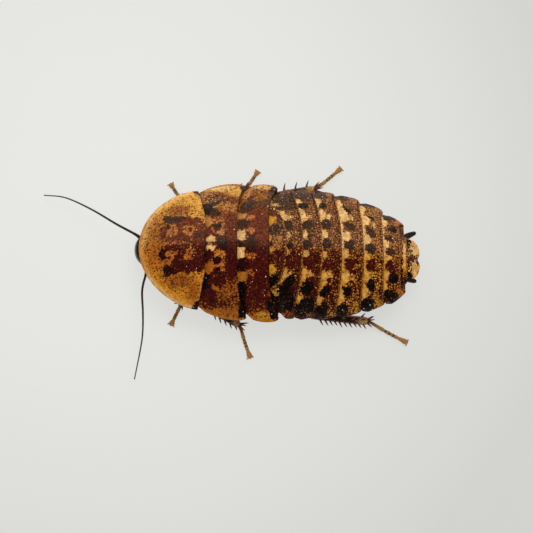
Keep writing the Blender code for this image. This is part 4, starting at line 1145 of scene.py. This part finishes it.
def plate_place(number, tuck, spacing):
    """Rows, columns and the shape function of a back plate with its folded side margins."""
    plate = PLATES[number]
    lap = TAIL_LAP if plate.name == "tergite_8" else PLATE_LAP
    spans = [rear_edge(number, part / 10.0) - cover_edge(number, part / 10.0) for part in range(11)]
    rows = int((max(spans) + lap) / spacing) + 6
    arc = 2.0 * max(half_width(number, plate.rear), half_width(number, PLATES[number - 1].rear)) * 1.16 + 3.2

    def place(along, across):
        spread = abs(across) / TOP_SHARE
        side = math.copysign(1.0, across)
        share = math.sin(min(1.0, spread) * math.pi / 2.0)
        before, edge = cover_edge(number, share), rear_edge(number, share)
        x = before - lap + (edge - before + lap) * along
        shown = float(smooth((x - before) / max(0.5, edge - before)))
        left = edge - x
        lip = float(smooth((0.5 - left) / 0.25)) - float(smooth((0.1 - left) / 0.1)) * 1.8
        inset = tuck * (1.0 - float(smooth((x - before) / 1.2))) - 0.045 * lip
        corner = 0.0 if plate.name in POINTED else max(0.0, 1.0 - left / 0.8) ** 2 * share**4
        shoulder = 1.0 - 0.6 * share**6 if plate.name == "mesonotum" else 1.15
        flare = FLARES.get(plate.name, 0.0) * shown
        wide = half_width(number, x) - 1.1 * inset * shoulder - 0.28 * corner - FOLD_RADIUS + flare
        if across < 0 and number >= NUMBER["tergite_2"]:
            wide -= ABDOMEN_LEFT_TRIM * float(smooth(min(x - 1.0, 18.0 - x) / 4.0))
            wide += LEFT_FILL.get(plate.name, 0.0) * float(smooth((x - before + 0.25) / 0.4) * (1.0 - shown))
        low = margin_z(x) + max(0.0, inset)
        edge_height = max(0.1, EDGE_HEIGHT - 0.3 * inset)
        if spread <= 1.0:
            rise = ridge_rise(x) - edge_height - 2.0 * inset
            return Vector((x, side * share * wide, low + edge_height + rise * (1.0 - share**2) ** plate.arch))
        turn = math.pi * min(1.0, (spread - 1.0) / FOLD_SHARE)
        under = max(0.0, (spread - 1.0 - FOLD_SHARE) / (1.0 / TOP_SHARE - 1.0 - FOLD_SHARE))
        y = wide + FOLD_RADIUS * math.sin(turn) - 1.9 * under
        return Vector((x, side * y, low + edge_height / 2 * (1.0 + math.cos(turn)) + 0.12 * under))

    return rows, int(arc / spacing), place


def shape_flanges(bm, number):
    """Sinks a shallow groove between the disc and the flange of a thorax plate, and dimples the disc."""
    for vert in bm.verts:
        x, y = vert.co.x, vert.co.y
        side = abs(y) / half_width(number, x)
        behind = behind_front(number, x, y)
        groove = math.exp(-(((side - 0.66 - 0.05 * behind) / 0.05) ** 2)) * float(smooth(behind / 0.6))
        dimple = noise.noise(Vector((x, y, number * 7.0)) / 1.6) * 0.07 + noise.noise(vert.co / 0.6) * 0.025
        keep = float(smooth((0.96 - side) / 0.1))
        vert.co.z += (dimple * keep - 0.16 * groove * keep) * float(smooth(behind / 0.8))


def roughen(bm, number):
    """Low bumps of a tergite's skin."""
    for vert in bm.verts:
        side = abs(vert.co.y) / half_width(number, vert.co.x)
        keep = float(smooth((0.97 - side) / 0.1)) * float(smooth(behind_front(number, *vert.co.xy) / 0.4))
        vert.co.z += keep * (noise.noise(vert.co / 0.9) * 0.05 + noise.noise(vert.co / 0.35) * 0.03)


def build_plate(number, finish, shape, paint):
    """A back plate: its sheet, its relief, its paint and its wall."""
    shell = bpy.context.scene.roach_shell
    name = PLATES[number].name
    bm = grid_sheet(*plate_place(number, shell.tuck + EXTRA_TUCK.get(name, 0.0), shell.spacing))
    shape(bm, number)
    layers = paint(bm, number)
    finish_piece(name + "_shell", bm, finish, [name], layers, shell.thickness)


class ROACH_OT_thorax(bpy.types.Operator):
    """Build the mesonotum and the metanotum"""

    bl_idname = "roach.thorax"
    bl_label = "Thorax plates"

    def execute(self, context):
        finish = shell_finish("thorax_chitin", 0.38, 0.05, 0.95, 0.66)
        for number in range(1, FIRST_TERGITE):
            build_plate(number, finish, shape_flanges, paint_thorax)
        return {"FINISHED"}


class ROACH_OT_tergites(bpy.types.Operator):
    """Build the eight tergites and the granules along their rear edges"""

    bl_idname = "roach.tergites"
    bl_label = "Tergites"

    def execute(self, context):
        finish = shell_finish("tergite_chitin", 0.4, 0.05, 0.78, 0.95)
        for number in range(FIRST_TERGITE, len(PLATES)):
            build_plate(number, finish, roughen, paint_tergite)
        build_granules()
        return {"FINISHED"}


def back_height(number, x, y):
    """Top of a back plate at a place."""
    share = min(1.0, abs(y) / max(0.5, half_width(number, x)))
    return margin_z(x) + EDGE_HEIGHT + (ridge_rise(x) - EDGE_HEIGHT) * (1.0 - share**2) ** PLATES[number].arch


def build_granules():
    """Small dark beads along the rear edge of each tergite but the last."""
    draw = random.Random(GRANULE_SEED)
    bm = bmesh.new()
    for number in range(FIRST_TERGITE, NUMBER["tergite_8"]):
        count = int(2.0 * half_width(number, PLATES[number].rear) / GRANULE_SPACING)
        for step in range(count + 1):
            angle = -GRANULE_ARC + 2.0 * GRANULE_ARC * step / count
            share = math.sin(angle) / math.sin(GRANULE_ARC) * 0.93
            x = rear_edge(number, share) - 0.3 - draw.uniform(0.0, 0.08)
            y = share * half_width(number, x)
            size = draw.uniform(*GRANULE_RADII)
            spot = Vector((x, y, back_height(number, x, y) + 0.11))
            placed = Matrix.Translation(spot) @ Matrix.Diagonal((1, 1, 0.7, 1))
            bmesh.ops.create_icosphere(bm, subdivisions=1, radius=size, matrix=placed)
    finish = dark_finish("granule_dark", GRANULE_COLOUR, 0.5)
    finish_piece("rear_edge_granules", bm, finish, ())


def tail_end(share):
    """x of the supra-anal plate's lobed and notched rear edge, at a share of its half width."""
    bulge = math.sqrt(max(0.0, 1.0 - min(1.0, abs(share)) ** 2.4))
    return PLATES[-1].rear + 0.6 + 1.75 * bulge - 0.4 * math.exp(-((share / 0.16) ** 2))


class ROACH_OT_tail(bpy.types.Operator):
    """Build the supra-anal plate and the two cerci"""

    bl_idname = "roach.tail"
    bl_label = "Tail"

    def execute(self, context):
        start = PLATES[-1].rear - TAIL_LAP

        def place(along, across):
            share = math.sin(across * math.pi / 2.0)
            x = start + (tail_end(share) - start) * along
            rise = (ridge_rise(x) - 0.75) * (1.0 - share**2) ** 0.85
            lobe = 0.12 * math.exp(-(((abs(share) - 0.5) / 0.3) ** 2)) * along
            z = margin_z(x) + 0.2 + rise + lobe - 0.1 * float(smooth((along - 0.93) / 0.07))
            return Vector((x, share * (3.0 + 0.1 * along), z))

        bm = grid_sheet(26, 64, place)
        layers = paint_tail(bm, start)
        finish = shell_finish("tail_chitin", 0.38, 0.1)
        finish_piece("supra_anal_shell", bm, finish, ["supra_anal_plate"], layers, TAIL_WALL)
        finish = dark_finish("cercus_black", context.scene.roach_limbs.head[:], 0.35)
        for name, points in CERCUS_ROUTES.items():
            build_cercus(name, points, finish)
        return {"FINISHED"}


def build_cercus(name, points, finish):
    """A cercus: a short stout cone of swollen rings."""
    bm = bmesh.new()
    count = 37
    radii = []
    for step in range(count):
        share = step / (count - 1)
        body = 0.42 + 0.09 * math.sin(math.pi * min(1.0, share * 1.2)) - 0.09 * share**2
        ring = 0.035 * abs(math.sin(math.pi * share * 9.0))
        cap = math.sqrt(max(0.02, 1.0 - max(0.0, (share - 0.82) / 0.18) ** 2))
        radii.append((body + ring - 0.02) * cap)
    sweep_tube(bm, even_route(points, count), radii, radii, 16)
    finish_limb(f"cercus_{name}_cone", bm, finish, [f"cercus_{name}"])


# Belly


def belly_depth(x):
    """Depth of the belly below the margin at x."""
    past = max(0.0, x - ABDOMEN_WIDEST_X) / (TAIL_X + 1.5 - ABDOMEN_WIDEST_X)
    return BELLY_DEPTH * (1.0 - past**2.2)


def sternite_place(front, rear):
    """The shape function of a belly plate between two places on the midline, with folded side margins."""

    def place(along, across):
        spread = abs(across) / BELLY_TOP_SHARE
        share = math.sin(min(1.0, spread) * math.pi / 2.0)
        x = front - BELLY_LAP + (rear + 0.3 * share**8 - front + BELLY_LAP) * along
        inset = 0.22 * (1.0 - float(smooth(along / 0.4)))
        wide = 0.93 * half_width(FIRST_TERGITE, x) - 1.2 * inset
        top = margin_z(x) - 0.34 - inset
        depth = belly_depth(x) - 0.34 - 1.4 * inset
        z = top - depth * (1.0 - share**2) ** 0.7
        y = share * wide
        if spread > 1.0:
            fold = (spread - 1.0) / (1.0 / BELLY_TOP_SHARE - 1.0)
            y = wide - 0.55 * fold
            z = top + 0.42 * math.sin(fold * math.pi / 2.0)
        return Vector((x, math.copysign(y, across), z))

    return place


class ROACH_OT_belly(bpy.types.Operator):
    """Build the sternites and the underside of the thorax"""

    bl_idname = "roach.belly"
    bl_label = "Belly"

    def execute(self, context):
        finish = shell_finish("sternite_chitin", 0.4, 0.3)
        fronts = [THORAX_REAR] + STERNITE_REARS
        for number, (front, rear) in enumerate(zip(fronts, STERNITE_REARS), start=2):
            bm = grid_sheet(int((rear - front) / 0.2) + 4, 110, sternite_place(front, rear))
            bmesh.ops.reverse_faces(bm, faces=bm.faces)
            name = f"sternite_{number}"
            layers = paint_sternite(bm, rear)
            finish_piece(name + "_shell", bm, finish, [name], layers, BELLY_WALL)
        build_underside()
        return {"FINISHED"}


def build_underside():
    """Soft rounded blocks under the thorax, between the roots of the legs."""
    finish = limb_finish("thorax_skin", (0.16, 0.06, 0.02), (0.30, 0.14, 0.05), 2.0, 3.0, 0.45)
    for name in ("prothorax", "thorax_underside"):
        low, high = (PLACE.inverted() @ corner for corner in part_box(name))
        middle, half = (low + high) / 2, (high - low) / 2
        bm = bmesh.new()
        bmesh.ops.create_cube(bm, size=2.0)
        bmesh.ops.subdivide_edges(bm, edges=bm.edges, cuts=15, use_grid_fill=True)
        for vert in bm.verts:
            x, y, z = vert.co
            px = middle.x + half.x * x * (1.0 - 0.05 * y * y)
            py = middle.y + half.y * y * (1.0 - 0.08 * x * x) * (1.0 - 0.06 * z * z)
            if name == "prothorax":
                ceiling = hood_height(px, py) - 0.55
                floor = low.z + 0.5 * y**4
            else:
                number = 1 if px < PLATES[1].rear else 2
                share = min(1.0, abs(py) / 9.5)
                seam = 0.7 * math.exp(-(((px - rear_edge(1, share) - 0.5) / 0.9) ** 2))
                seam += 1.4 * float(smooth((px - rear_edge(2, share) + 1.0) / 0.9))
                ceiling = back_height(number, px, py) - 0.5 - seam
                floor = low.z + 0.13 * (1.0 - 0.06 * (y * y + x * x)) * abs(math.sin(px * 0.9))
            pz = floor + (ceiling - floor) * (z + 1.0) / 2.0
            vert.co = (px, py, pz + 0.05 * noise.noise(Vector((px, py, pz)) / 0.7))
        bmesh.ops.recalc_face_normals(bm, faces=bm.faces)
        finish_piece(name + "_block", bm, finish, [name], {"limb": np.zeros((len(bm.verts), 3))})


# Head and feelers


def head_point(ball):
    """A place on the head for one on a unit ball, with two grooves and the feelers' sockets."""
    low, high = HEAD_SLICES[0].z, HEAD_SLICES[-1].z
    level = (low + high) / 2 + (high - low) / 2 * ball.z
    spans = list(zip(HEAD_SLICES, HEAD_SLICES[1:]))
    a, b = next((span for span in spans if span[0].z <= level <= span[1].z), spans[0])
    share = (level - a.z) / (b.z - a.z)
    flat = math.hypot(ball.x, ball.y)
    cap = min(1.0, flat / 0.45)
    length = (a.half_length + (b.half_length - a.half_length) * share) * cap
    width = (a.half_width + (b.half_width - a.half_width) * share) * cap
    turn = math.atan2(ball.y, ball.x) if flat > 1e-6 else 0.0
    x, y = a.x + (b.x - a.x) * share + length * math.cos(turn), width * math.sin(turn)
    if math.cos(turn) < 0:
        x += sum(deep * math.exp(-(((level - z) / deep) ** 2)) for z, deep in HEAD_GROOVES)
    spot = Vector((x, y, level))
    x += sum(0.25 * math.exp(-(((spot - socket).length / 0.4) ** 2)) for socket in FEELER_SOCKETS)
    return x, y, level


class ROACH_OT_head(bpy.types.Operator):
    """Build the head, its mouthparts and its two eyes"""

    bl_idname = "roach.head"
    bl_label = "Head"

    def execute(self, context):
        bm = bmesh.new()
        bmesh.ops.create_uvsphere(bm, u_segments=56, v_segments=40, radius=1.0)
        for vert in bm.verts:
            vert.co = head_point(vert.co)
        bmesh.ops.recalc_face_normals(bm, faces=bm.faces)
        finish = dark_finish("head_black", context.scene.roach_limbs.head[:], 0.26)
        finish_piece("head_capsule", bm, finish, ["head"])
        build_eyes()
        build_mouthparts()
        return {"FINISHED"}


def build_eyes():
    """Two eyes, each hollowed a little beside the root of its feeler."""
    finish = dark_finish("eye_facets", (0.006, 0.005, 0.005), 0.2, 0.045)
    for name, side in SIDES:
        bm = bmesh.new()
        centre = Vector((EYE_CENTRE.x, side * EYE_CENTRE.y, EYE_CENTRE.z))
        placed = Matrix.Translation(centre) @ Matrix.Diagonal((*EYE_RADII, 1.0))
        bmesh.ops.create_uvsphere(bm, u_segments=32, v_segments=20, radius=1.0, matrix=placed)
        for vert in bm.verts:
            pull = math.exp(-(((vert.co - centre - Vector((-0.8, 0, -0.15))).length / 0.4) ** 2))
            vert.co += (centre - vert.co) * 0.25 * pull
        finish_piece(f"eye_{name}_facets", bm, finish, [f"eye_{name}"])


def build_mouthparts():
    """Maxillary palps of five joints and the shorter palps of the lip."""
    limbs = bpy.context.scene.roach_limbs
    finish = limb_finish("palp_skin", limbs.dark[:], limbs.pale[:], 0.86, 1.2, 0.4)
    for name, side in SIDES:
        points = [(x, side * y, z) for x, y, z in PALP_ROUTE]
        bm = jointed_tube(points, [0.0, 0.12, 0.24, 0.52, 0.74, 1.0], 0.26, 0.17, 12)
        finish_limb(f"palp_{name}", bm, finish, [f"maxillary_palp_{name}"])
        points = [(x, side * y, z) for x, y, z in LIP_PALP_ROUTE]
        bm = jointed_tube(points, [0.0, 0.3, 0.6, 1.0], 0.16, 0.12, 10)
        finish_limb(f"lip_palp_{name}", bm, finish, ())


def jointed_tube(points, joints, root_radius, end_radius, sides):
    """A tube whose joints swell towards their far ends and are nipped in between."""
    bm = bmesh.new()
    route, radii = [], []
    fine = even_route(points, 120)
    for low, high in zip(joints, joints[1:]):
        for part, size in ((0.02, 0.55), (0.1, 0.8), (0.4, 0.92), (0.8, 1.08), (0.94, 1.0), (0.99, 0.6)):
            share = low + (high - low) * part
            place = share * (len(fine) - 1)
            index = min(int(place), len(fine) - 2)
            route.append(fine[index].lerp(fine[index + 1], place - index))
            radii.append((root_radius + (end_radius - root_radius) * share) * size)
    sweep_tube(bm, route, radii, radii, sides)
    return bm


class ROACH_OT_feelers(bpy.types.Operator):
    """Build the two ringed feelers"""

    bl_idname = "roach.feelers"
    bl_label = "Feelers"

    def execute(self, context):
        finish = feeler_finish()
        for name, points in FEELER_ROUTES.items():
            length = sum((Vector(b) - Vector(a)).length for a, b in zip(points, points[1:]))
            route = even_route(points, int(length / FEELER_RING) * 4 + 1)
            radii = []
            for step in range(len(route)):
                share = step / (len(route) - 1)
                body = 0.205 - 0.125 * share**0.8
                if share < 0.055:
                    body = 0.25
                elif share < 0.085:
                    body = 0.21
                beads = 0.022 * math.sin(math.pi * (step % 4) / 4.0)
                radii.append(body + beads - 0.01)
            radii[0] *= 0.6
            radii[-1] *= 0.4
            bm = bmesh.new()
            sweep_tube(bm, route, radii, radii, 10)
            nodes = [f"antenna_{name}_{part}" for part in ("scape", "flagellum_1", "flagellum_2")]
            finish_limb(f"feeler_{name}", bm, finish, nodes)
        return {"FINISHED"}


# Legs


def add_spine(bm, root, aim, length, radius, bend):
    """A curved thorn that stands on the leg."""
    route = [root + aim * length * share + bend * (share**2) * length for share in (0.0, 0.3, 0.6, 0.85, 1.0)]
    sizes = [radius * share for share in (1.0, 0.86, 0.64, 0.38, 0.08)]
    sweep_tube(bm, route, sizes, sizes, 7, kind=SPINE_KIND)


def build_coxa(leg, finish, sides):
    """The broad flat first joint of a leg."""
    root, tip = Vector((*leg.coxa_root, COXA_ROOT_Z)), Vector((*leg.trochanter, COXA_TIP_Z))
    shares = (0.0, 0.03, 0.12, 0.28, 0.45, 0.62, 0.8, 0.93, 0.98, 1.0)
    widths = [0.45, 0.75, 1.15, 1.27, 1.3, 1.18, 0.98, 0.72, 0.55, 0.3]
    heights = [COXA_HALF_HEIGHT * s for s in (0.4, 0.7, 0.98, 1.0, 1.0, 0.95, 0.82, 0.64, 0.5, 0.3)]
    bm = bmesh.new()
    sweep_tube(bm, [root.lerp(tip, share) for share in shares], widths, heights, sides)
    finish_limb(f"{leg.name}_coxa_skin", bm, finish, [f"{leg.name}_coxa"])


def build_femur(leg, finish, sides, draw):
    """Trochanter and femur, with a few thorns along the lower edge."""
    root, knee = Vector((*leg.trochanter, FEMUR_Z)), Vector((*leg.knee, FEMUR_Z))
    bends = ((-0.03, 1.25), (-0.02, 0.95), (0.0, 0.6), (0.035, 0.28), (0.08, 0.08))
    shares = (0.12, 0.2, 0.35, 0.55, 0.75, 0.9, 0.97, 1.0)
    widths = [0.3, 0.46, 0.52, 0.56, 0.52, 0.6, 0.74, 0.8, 0.76, 0.66, 0.56, 0.42, 0.2]
    heights = [0.5, 0.7, 0.8, 0.85, 0.78, 0.8, 0.95, 1.0, 1.0, 0.95, 0.88, 0.6, 0.3]
    route = [root.lerp(knee, share) + Vector((0, 0, lift)) for share, lift in bends]
    route += [root.lerp(knee, share) for share in shares]
    bm = bmesh.new()
    sweep_tube(bm, route, widths, [FEMUR_HALF_HEIGHT * share for share in heights], sides)
    along, across, _ = directions(knee - root)
    for side in (1, -1):
        for number in range(3):
            share = 0.35 + 0.2 * number + draw.uniform(-0.03, 0.03)
            aim = (across * side * 0.85 - Vector((0, 0, 0.3)) + along * 0.6).normalized()
            spot = root.lerp(knee, share) + across * side * 0.35 - Vector((0, 0, 0.25))
            add_spine(bm, spot, aim, draw.uniform(0.75, 0.95), 0.1, along * 0.12)
    finish_limb(f"{leg.name}_femur_skin", bm, finish, [f"{leg.name}_femur"])


def build_tibia(leg, finish, sides, draw):
    """The tibia: a ridged shaft with rows of curved thorns and a crown at its end."""
    knee, ankle = Vector((*leg.knee, TIBIA_Z)), Vector((*leg.ankle, ANKLE_Z))
    root = knee + KNEE_CLEARANCE * (ankle - knee).normalized()
    neck = KNEE_CLEARANCE / (ankle - root).length
    shares = (-neck * 0.9, -neck * 0.5, -neck * 0.15, 0.04, 0.12, 0.2, 0.4, 0.6, 0.8, 0.92, 0.97, 1.0)
    radius = TIBIA_RADIUS * (HIND_TIBIA_GROWTH if leg.name.startswith("hind") else 1.0)
    sizes = [radius * s for s in (0.4, 0.55, 0.66, 0.8, 0.87, 0.9, 0.95, 1.0, 1.04, 1.04, 0.88, 0.5)]
    bm = bmesh.new()
    route = [root.lerp(ankle, share) for share in shares]
    skin = sweep_tube(bm, route, sizes, [size * 0.92 for size in sizes], sides)
    along, across, up = directions(ankle - root)
    for vert in skin:
        off = vert.co - root
        radial = off - along * off.dot(along)
        angle = math.atan2(radial.dot(up), radial.dot(across))
        vert.co += radial * 0.06 * math.cos(angle * 5.0)

    def thorn(share, start, angle, lean, length, bend):
        outward = across * math.cos(angle) + up * math.sin(angle)
        aim = outward * math.sin(lean) + along * math.cos(lean)
        add_spine(bm, root.lerp(ankle, share) + outward * start, aim, length, THORN_RADIUS, along * bend)

    reach = bpy.context.scene.roach_limbs.spine_length * leg.thorn
    outer = math.copysign(1.0, across.y * leg.ankle[1])
    outside, inside = (90 - 78 * outer, leg.outside, 1.0), (90 + 78 * outer, leg.inside, 1.0)
    for row, (turn, count, size) in enumerate((outside, inside, (88, leg.outside // 2, 0.75))):
        for number in range(count):
            share = 0.1 + 0.82 * (number + 0.5 + 0.2 * (row % 2)) / count
            lean = math.radians(leg.lean) + draw.uniform(-0.1, 0.1)
            angle = math.radians(turn) + draw.uniform(-0.18, 0.18)
            thorn(share, 0.1, angle, lean, reach * draw.uniform(0.85, 1.1) * size + radius * 0.8, 0.14)
    foot = Vector((*leg.toe, ANKLE_Z)) - ankle
    for degrees in CROWN_TURNS:
        turn = math.radians(degrees)
        turn = math.pi - turn if along.cross(foot).z > 0 else turn
        thorn(0.94, 0.0, turn, CROWN_LEAN, reach * draw.uniform(0.85, 1.1) + 0.6, 0.1)
    for vert in bm.verts:
        vert.co.z = max(vert.co.z, 0.02)
    finish_limb(f"{leg.name}_tibia_spined", bm, finish, [f"{leg.name}_tibia"])


def foot_level(share):
    """Height of a foot's middle line, which comes down from the ankle and then runs level."""
    low = TARSUS_RADIUS * 0.9
    return low + (ANKLE_Z - low) * max(0.0, 1.0 - share / SOLE_FROM) ** 1.5


def build_tarsus(leg, finish, sides):
    """The five-jointed foot with its pads, two claws and the lobe between them."""
    ankle, toe = Vector((*leg.ankle, ANKLE_Z)), Vector((*leg.toe, 0))
    along = (toe.xy - ankle.xy).normalized().to_3d()
    start = ankle + 0.25 * along
    length = (toe.xy - start.xy).length
    route, radii, widths = [ankle - 0.2 * along], [TARSUS_RADIUS * 0.5], [TARSUS_RADIUS * 0.5]
    for low, high in zip(TARSUS_JOINTS, TARSUS_JOINTS[1:]):
        for part, size in ((0.0, 0.6), (0.06, 0.78), (0.3, 0.84), (0.7, 0.96), (0.9, 1.08), (0.985, 0.85)):
            share = low + (high - low) * part
            route.append(start + along * length * share + Vector((0, 0, foot_level(share) - start.z)))
            radii.append(TARSUS_RADIUS * size)
            flare = max(0.0, (share - TARSUS_FLARES_FROM) / (1.0 - TARSUS_FLARES_FROM))
            widths.append(radii[-1] * (1.0 + 0.5 * flare))
    bm = bmesh.new()
    skin = sweep_tube(bm, route, widths, radii, sides, floor=0.0)
    place_along = bm.verts.layers.float["along"]
    for vert in skin:
        vert[place_along] = min(1.0, max(0.0, (vert.co - start).dot(along) / length))
    tip = route[-1]
    for side in (1, -1):
        aim = Matrix.Rotation(side * CLAW_SPREAD, 3, "Z") @ along
        hook = [tip - along * 0.25 + aim * 0.02]
        for reach, rise in ((0.2, 0.12), (0.42, 0.12), (0.56, 0.02), (0.66, -0.14)):
            hook.append(tip + aim * reach + Vector((0, 0, rise)))
        widths, heights = [0.19, 0.18, 0.14, 0.09, 0.03], [0.17, 0.16, 0.12, 0.08, 0.03]
        sweep_tube(bm, hook, widths, heights, 10, 0.0, SPINE_KIND)
    pad = [tip + along * reach for reach in (-0.15, 0.1, 0.3, 0.42)]
    sweep_tube(bm, pad, [0.2, 0.34, 0.3, 0.1], [0.14, 0.15, 0.13, 0.05], 12, 0.0, SPINE_KIND)
    for joint in TARSUS_JOINTS[1:5]:
        spot = start + along * (length * joint - 0.1)
        spot.z = max(0.1, foot_level(joint) - TARSUS_RADIUS * 0.85)
        sole = [spot - along * 0.14, spot, spot + along * 0.14]
        sweep_tube(bm, sole, [0.07, 0.13, 0.06], [0.05, 0.09, 0.05], 10, 0.0, SOLE_KIND)
    finish_limb(f"{leg.name}_tarsus_jointed", bm, finish, [f"{leg.name}_tarsus"])


class ROACH_OT_legs(bpy.types.Operator):
    """Build the six legs from coxa to claws"""

    bl_idname = "roach.legs"
    bl_label = "Legs"

    def execute(self, context):
        limbs = context.scene.roach_limbs
        draw = random.Random(LEG_SEED)
        thigh = limb_finish("thigh_amber", (0.20, 0.075, 0.02), (0.34, 0.16, 0.045), 0.55, 1.3, 0.36, 0.4)
        shin = limb_finish("shin_dark", limbs.dark[:], limbs.pale[:], 0.74, 0.9, 0.32)
        foot = foot_finish()
        for leg in LEGS:
            build_coxa(leg, thigh, limbs.sides + 8)
            build_femur(leg, thigh, limbs.sides, draw)
            build_tibia(leg, shin, limbs.sides + 4, draw)
            build_tarsus(leg, foot, limbs.sides)
        return {"FINISHED"}


# Stage


class ROACH_OT_stage(bpy.types.Operator):
    """Build the pale floor, the soft lights and the camera"""

    bl_idname = "roach.stage"
    bl_label = "Stage"

    def execute(self, context):
        stage = context.scene.roach_stage
        bm = bmesh.new()
        bmesh.ops.create_grid(bm, x_segments=8, y_segments=8, size=1.5)
        mesh = bpy.data.meshes.new("floor")
        bm.to_mesh(mesh)
        bm.free()
        mesh.materials.append(floor_finish())
        floor = bpy.data.objects.new("floor", mesh)
        context.scene.collection.objects.link(floor)
        self.add_light("window", stage.window_power, 1.1, Vector((-0.12, 0.48, 0.48)), False)
        self.add_light("overhead", stage.overhead_power, 0.4, Vector((0.12, 0.3, 0.75)), False)
        self.add_light("lamp", stage.lamp_power, 0.07, Vector((-0.08, 0.25, 0.55)), True)
        world = bpy.data.worlds.new("studio")
        world.use_nodes = True
        sky = world.node_tree.nodes["Background"]
        sky.inputs["Color"].default_value = (1.0, 1.0, 1.0, 1.0)
        sky.inputs["Strength"].default_value = stage.ambient
        world.cycles_visibility.glossy = False
        context.scene.world = world
        context.scene.view_settings.view_transform = "Standard"
        self.add_camera(context)
        return {"FINISHED"}

    def add_light(self, name, power, size, spot, mirrored):
        """A square light aimed at the origin, seen or unseen in reflections."""
        light = bpy.data.lights.new(name, "AREA")
        light.energy = power
        light.shape = "SQUARE"
        light.size = size
        holder = bpy.data.objects.new(name, light)
        holder.location = spot
        holder.rotation_euler = (-spot).to_track_quat("-Z", "Y").to_euler()
        holder.visible_glossy = mirrored
        bpy.context.scene.collection.objects.link(holder)

    def add_camera(self, context):
        """A camera on the photograph's line of sight, with its framing."""
        lean_x, lean_y = math.sin(CAMERA_LEAN_AHEAD), math.sin(CAMERA_LEAN_LEFT)
        back = Vector((-lean_x, -lean_y, math.sqrt(1.0 - lean_x**2 - lean_y**2)))
        level = (Vector((1, 0, 0)) - back * back.x).normalized()
        over = back.cross(level)
        right = level * math.cos(CAMERA_ROLL) + over * math.sin(CAMERA_ROLL)
        up = over * math.cos(CAMERA_ROLL) - level * math.sin(CAMERA_ROLL)
        data = bpy.data.cameras.new("camera")
        data.sensor_width = SENSOR_MM
        data.lens = SENSOR_MM * CAMERA_DISTANCE / IMAGE_WIDTH_MM
        data.clip_start = 0.01
        data.clip_end = 10.0
        camera = bpy.data.objects.new("camera", data)
        turn = Matrix((right, up, back)).transposed().to_4x4()
        camera.matrix_world = Matrix.Translation(PLACE @ CAMERA_PLACE) @ turn
        context.scene.collection.objects.link(camera)
        context.scene.camera = camera


class ROACH_PT_panel(bpy.types.Panel):
    """The roach's pieces, sizes and colours."""

    bl_idname = "ROACH_PT_panel"
    bl_label = "Discoid roach nymph"
    bl_space_type = "VIEW_3D"
    bl_region_type = "UI"
    bl_category = "Roach"

    def draw(self, context):
        layout = self.layout
        for operator in OPERATORS:
            layout.operator(operator.bl_idname)
        for group in (context.scene.roach_shell, context.scene.roach_limbs, context.scene.roach_stage):
            box = layout.box()
            for name in group.bl_rna.properties.keys():
                if name not in ("rna_type", "name"):
                    box.prop(group, name)


OPERATORS = (
    ROACH_OT_stage,
    ROACH_OT_pronotum,
    ROACH_OT_thorax,
    ROACH_OT_tergites,
    ROACH_OT_tail,
    ROACH_OT_belly,
    ROACH_OT_head,
    ROACH_OT_feelers,
    ROACH_OT_legs,
)
GROUPS = (RoachShell, RoachLimbs, RoachStage)


def register():
    """Registers the settings, operators and panel."""
    for item in (*GROUPS, *OPERATORS, ROACH_PT_panel):
        bpy.utils.register_class(item)
    bpy.types.Scene.roach_shell = bpy.props.PointerProperty(type=RoachShell)
    bpy.types.Scene.roach_limbs = bpy.props.PointerProperty(type=RoachLimbs)
    bpy.types.Scene.roach_stage = bpy.props.PointerProperty(type=RoachStage)


def unregister():
    """Removes them again."""
    del bpy.types.Scene.roach_shell
    del bpy.types.Scene.roach_limbs
    del bpy.types.Scene.roach_stage
    for item in reversed((*GROUPS, *OPERATORS, ROACH_PT_panel)):
        bpy.utils.unregister_class(item)


def main():
    """Builds every piece."""
    register()
    bpy.ops.roach.stage()
    bpy.ops.roach.pronotum()
    bpy.ops.roach.thorax()
    bpy.ops.roach.tergites()
    bpy.ops.roach.tail()
    bpy.ops.roach.belly()
    bpy.ops.roach.head()
    bpy.ops.roach.feelers()
    bpy.ops.roach.legs()


if __name__ == "__main__":
    main()
